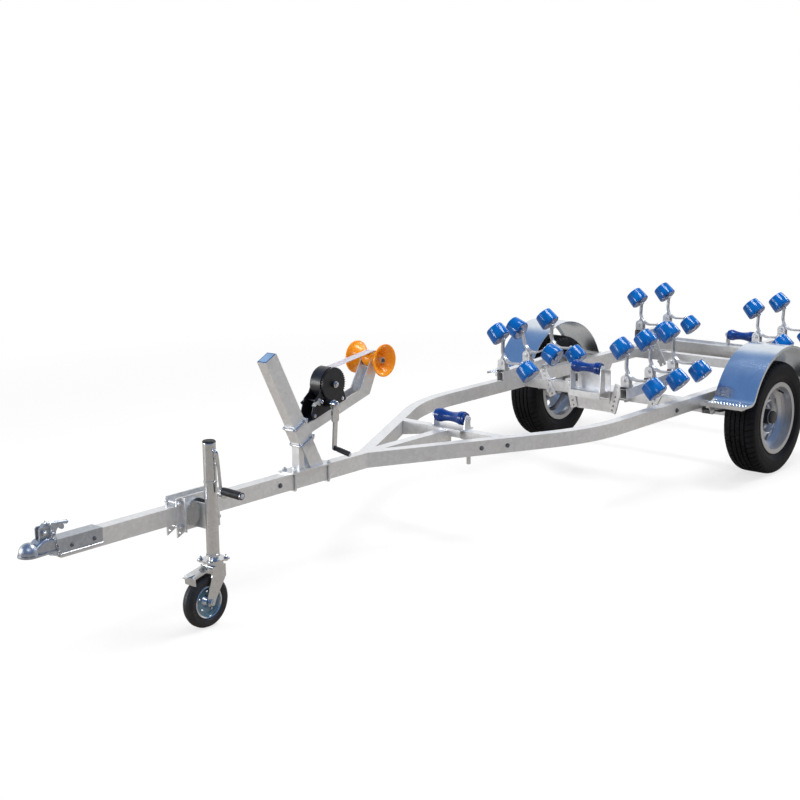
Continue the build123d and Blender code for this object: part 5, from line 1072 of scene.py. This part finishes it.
def place_camera():
    """The photograph's view."""
    level = Vector((cos(CAMERA_YAW), sin(CAMERA_YAW), 0))
    forward = level * cos(CAMERA_PITCH) - UP * sin(CAMERA_PITCH)
    right = Vector((sin(CAMERA_YAW), -cos(CAMERA_YAW), 0))
    up = right.cross(forward)
    turned_right = right * cos(CAMERA_ROLL) + up * sin(CAMERA_ROLL)
    turned_up = up * cos(CAMERA_ROLL) - right * sin(CAMERA_ROLL)
    data = bpy.data.cameras.new("camera")
    data.lens = LENS
    data.sensor_width = SENSOR
    data.clip_end = 200
    camera = add_object("camera", data)
    rows = Matrix((turned_right, turned_up, -forward)).transposed()
    camera.matrix_world = Matrix.Translation(in_frame(CAMERA_PLACE)) @ rows.to_4x4()
    bpy.context.scene.camera = camera


FLOOR_SIZE = 60
# stops: place in the floor's cloudy tone, and the colour that it bounces
FLOOR_GREY = ((0.3, (0.44, 0.405, 0.365)), (0.7, (0.48, 0.445, 0.405)))
FLOOR_WHITE = 0.7  # share of plain white that the camera sees in the floor under the trailer
FADE = (2.6, 5.5)  # metres from the middle over which that share rises to all of it


def floor_look():
    """Dim and warm to other rays; to the camera, a white that keeps a soft shadow under the trailer."""
    material = shader("pale_floor", Roughness=0.95)
    clouds = texture(material, "Noise", 0.6, Detail=3)
    feed(material, "Base Color", ramp(material, clouds.outputs["Fac"], *FLOOR_GREY))
    place = add_node(material, "TexCoord").outputs["Object"]
    distance = add_node(material, "VectorMath", {0: place})
    distance.operation = "LENGTH"
    share = spread(material, distance.outputs["Value"], FLOOR_WHITE, 1, *FADE)
    lit = add_node(material, "BsdfDiffuse", Color=(1, 1, 1, 1)).outputs["BSDF"]
    white = add_node(material, "Emission").outputs["Emission"]
    by_camera = add_node(material, "LightPath").outputs["Is Camera Ray"]
    nodes = material.node_tree.nodes
    bounced = nodes["Principled BSDF"].outputs["BSDF"]
    look = chosen(material, by_camera, bounced, chosen(material, share, lit, white))
    material.node_tree.links.new(look, nodes["Material Output"].inputs["Surface"])
    return material


def floor():
    """A flat sheet for the trailer to stand on."""
    builder = bmesh.new()
    bmesh.ops.create_grid(builder, x_segments=8, y_segments=8, size=FLOOR_SIZE)
    piece = drawn("floor", builder)
    piece.data.materials.append(floor_look())


def area_light(name, place, target, size, power):
    """A soft light that faces a target; places and sizes are in metres, in the frame's own axes."""
    data = bpy.data.lights.new(name, "AREA")
    data.shape = "RECTANGLE"
    data.size, data.size_y = size
    data.energy = power
    light = add_object(name, data)
    light.location = place
    direction = Vector(target) - Vector(place)
    light.rotation_euler = direction.to_track_quat("-Z", "Y").to_euler()


AMBIENT = 0.5
SKY_LEAN = (-0.5, -0.6, 1)  # the blue deepens upwards, towards the coupling and towards the left-hand side
# stops: place of a direction along that lean, and the colour mirrored there
MIRRORED_SKY = ((0.0, (1, 1, 1)), (0.06, (0.94, 0.97, 1)), (0.28, (0.16, 0.30, 0.56)),
                (0.8, (0.08, 0.20, 0.46)))


def background(world, strength=1.0, colour=None):
    """A background of the world, white unless a colour is linked to it."""
    sources = {"Color": colour} if colour else {}
    return add_node(world, "Background", sources, Color=(1, 1, 1, 1), Strength=strength).outputs["Background"]


def sky():
    """White to the camera, an even light on the trailer, and a blue overhead for its metal to mirror."""
    world = bpy.data.worlds.new("studio")
    bpy.context.scene.world = world
    world.use_nodes = True
    world.node_tree.nodes.clear()
    place = add_node(world, "TexCoord").outputs["Generated"]
    lean = add_node(world, "VectorMath", {0: place})
    lean.operation = "DOT_PRODUCT"
    lean.inputs[1].default_value = SKY_LEAN
    mirrored = background(world, colour=ramp(world, lean.outputs["Value"], *MIRRORED_SKY))
    rays = add_node(world, "LightPath").outputs
    lit = chosen(world, rays["Is Glossy Ray"], background(world, AMBIENT), mirrored)
    add_node(world, "OutputWorld", {"Surface": chosen(world, rays["Is Camera Ray"], lit, background(world))})


place_camera()
floor()
sky()
area_light("overhead", (1.4, -0.8, 5.0), (0, 0, 0.4), (3.0, 1.6), 190)
area_light("front_left", (-4.6, -3.4, 4.6), (0, 0, 0.4), (1.8, 1.4), 60)
area_light("behind", (5.8, -1.6, 3.8), (1, 0, 0.5), (1.5, 1.0), 60)
area_light("front_right", (-5.0, 3.0, 1.3), (-1, 0, 0.6), (2.0, 1.6), 100)
bpy.context.scene.view_settings.view_transform = "Standard"
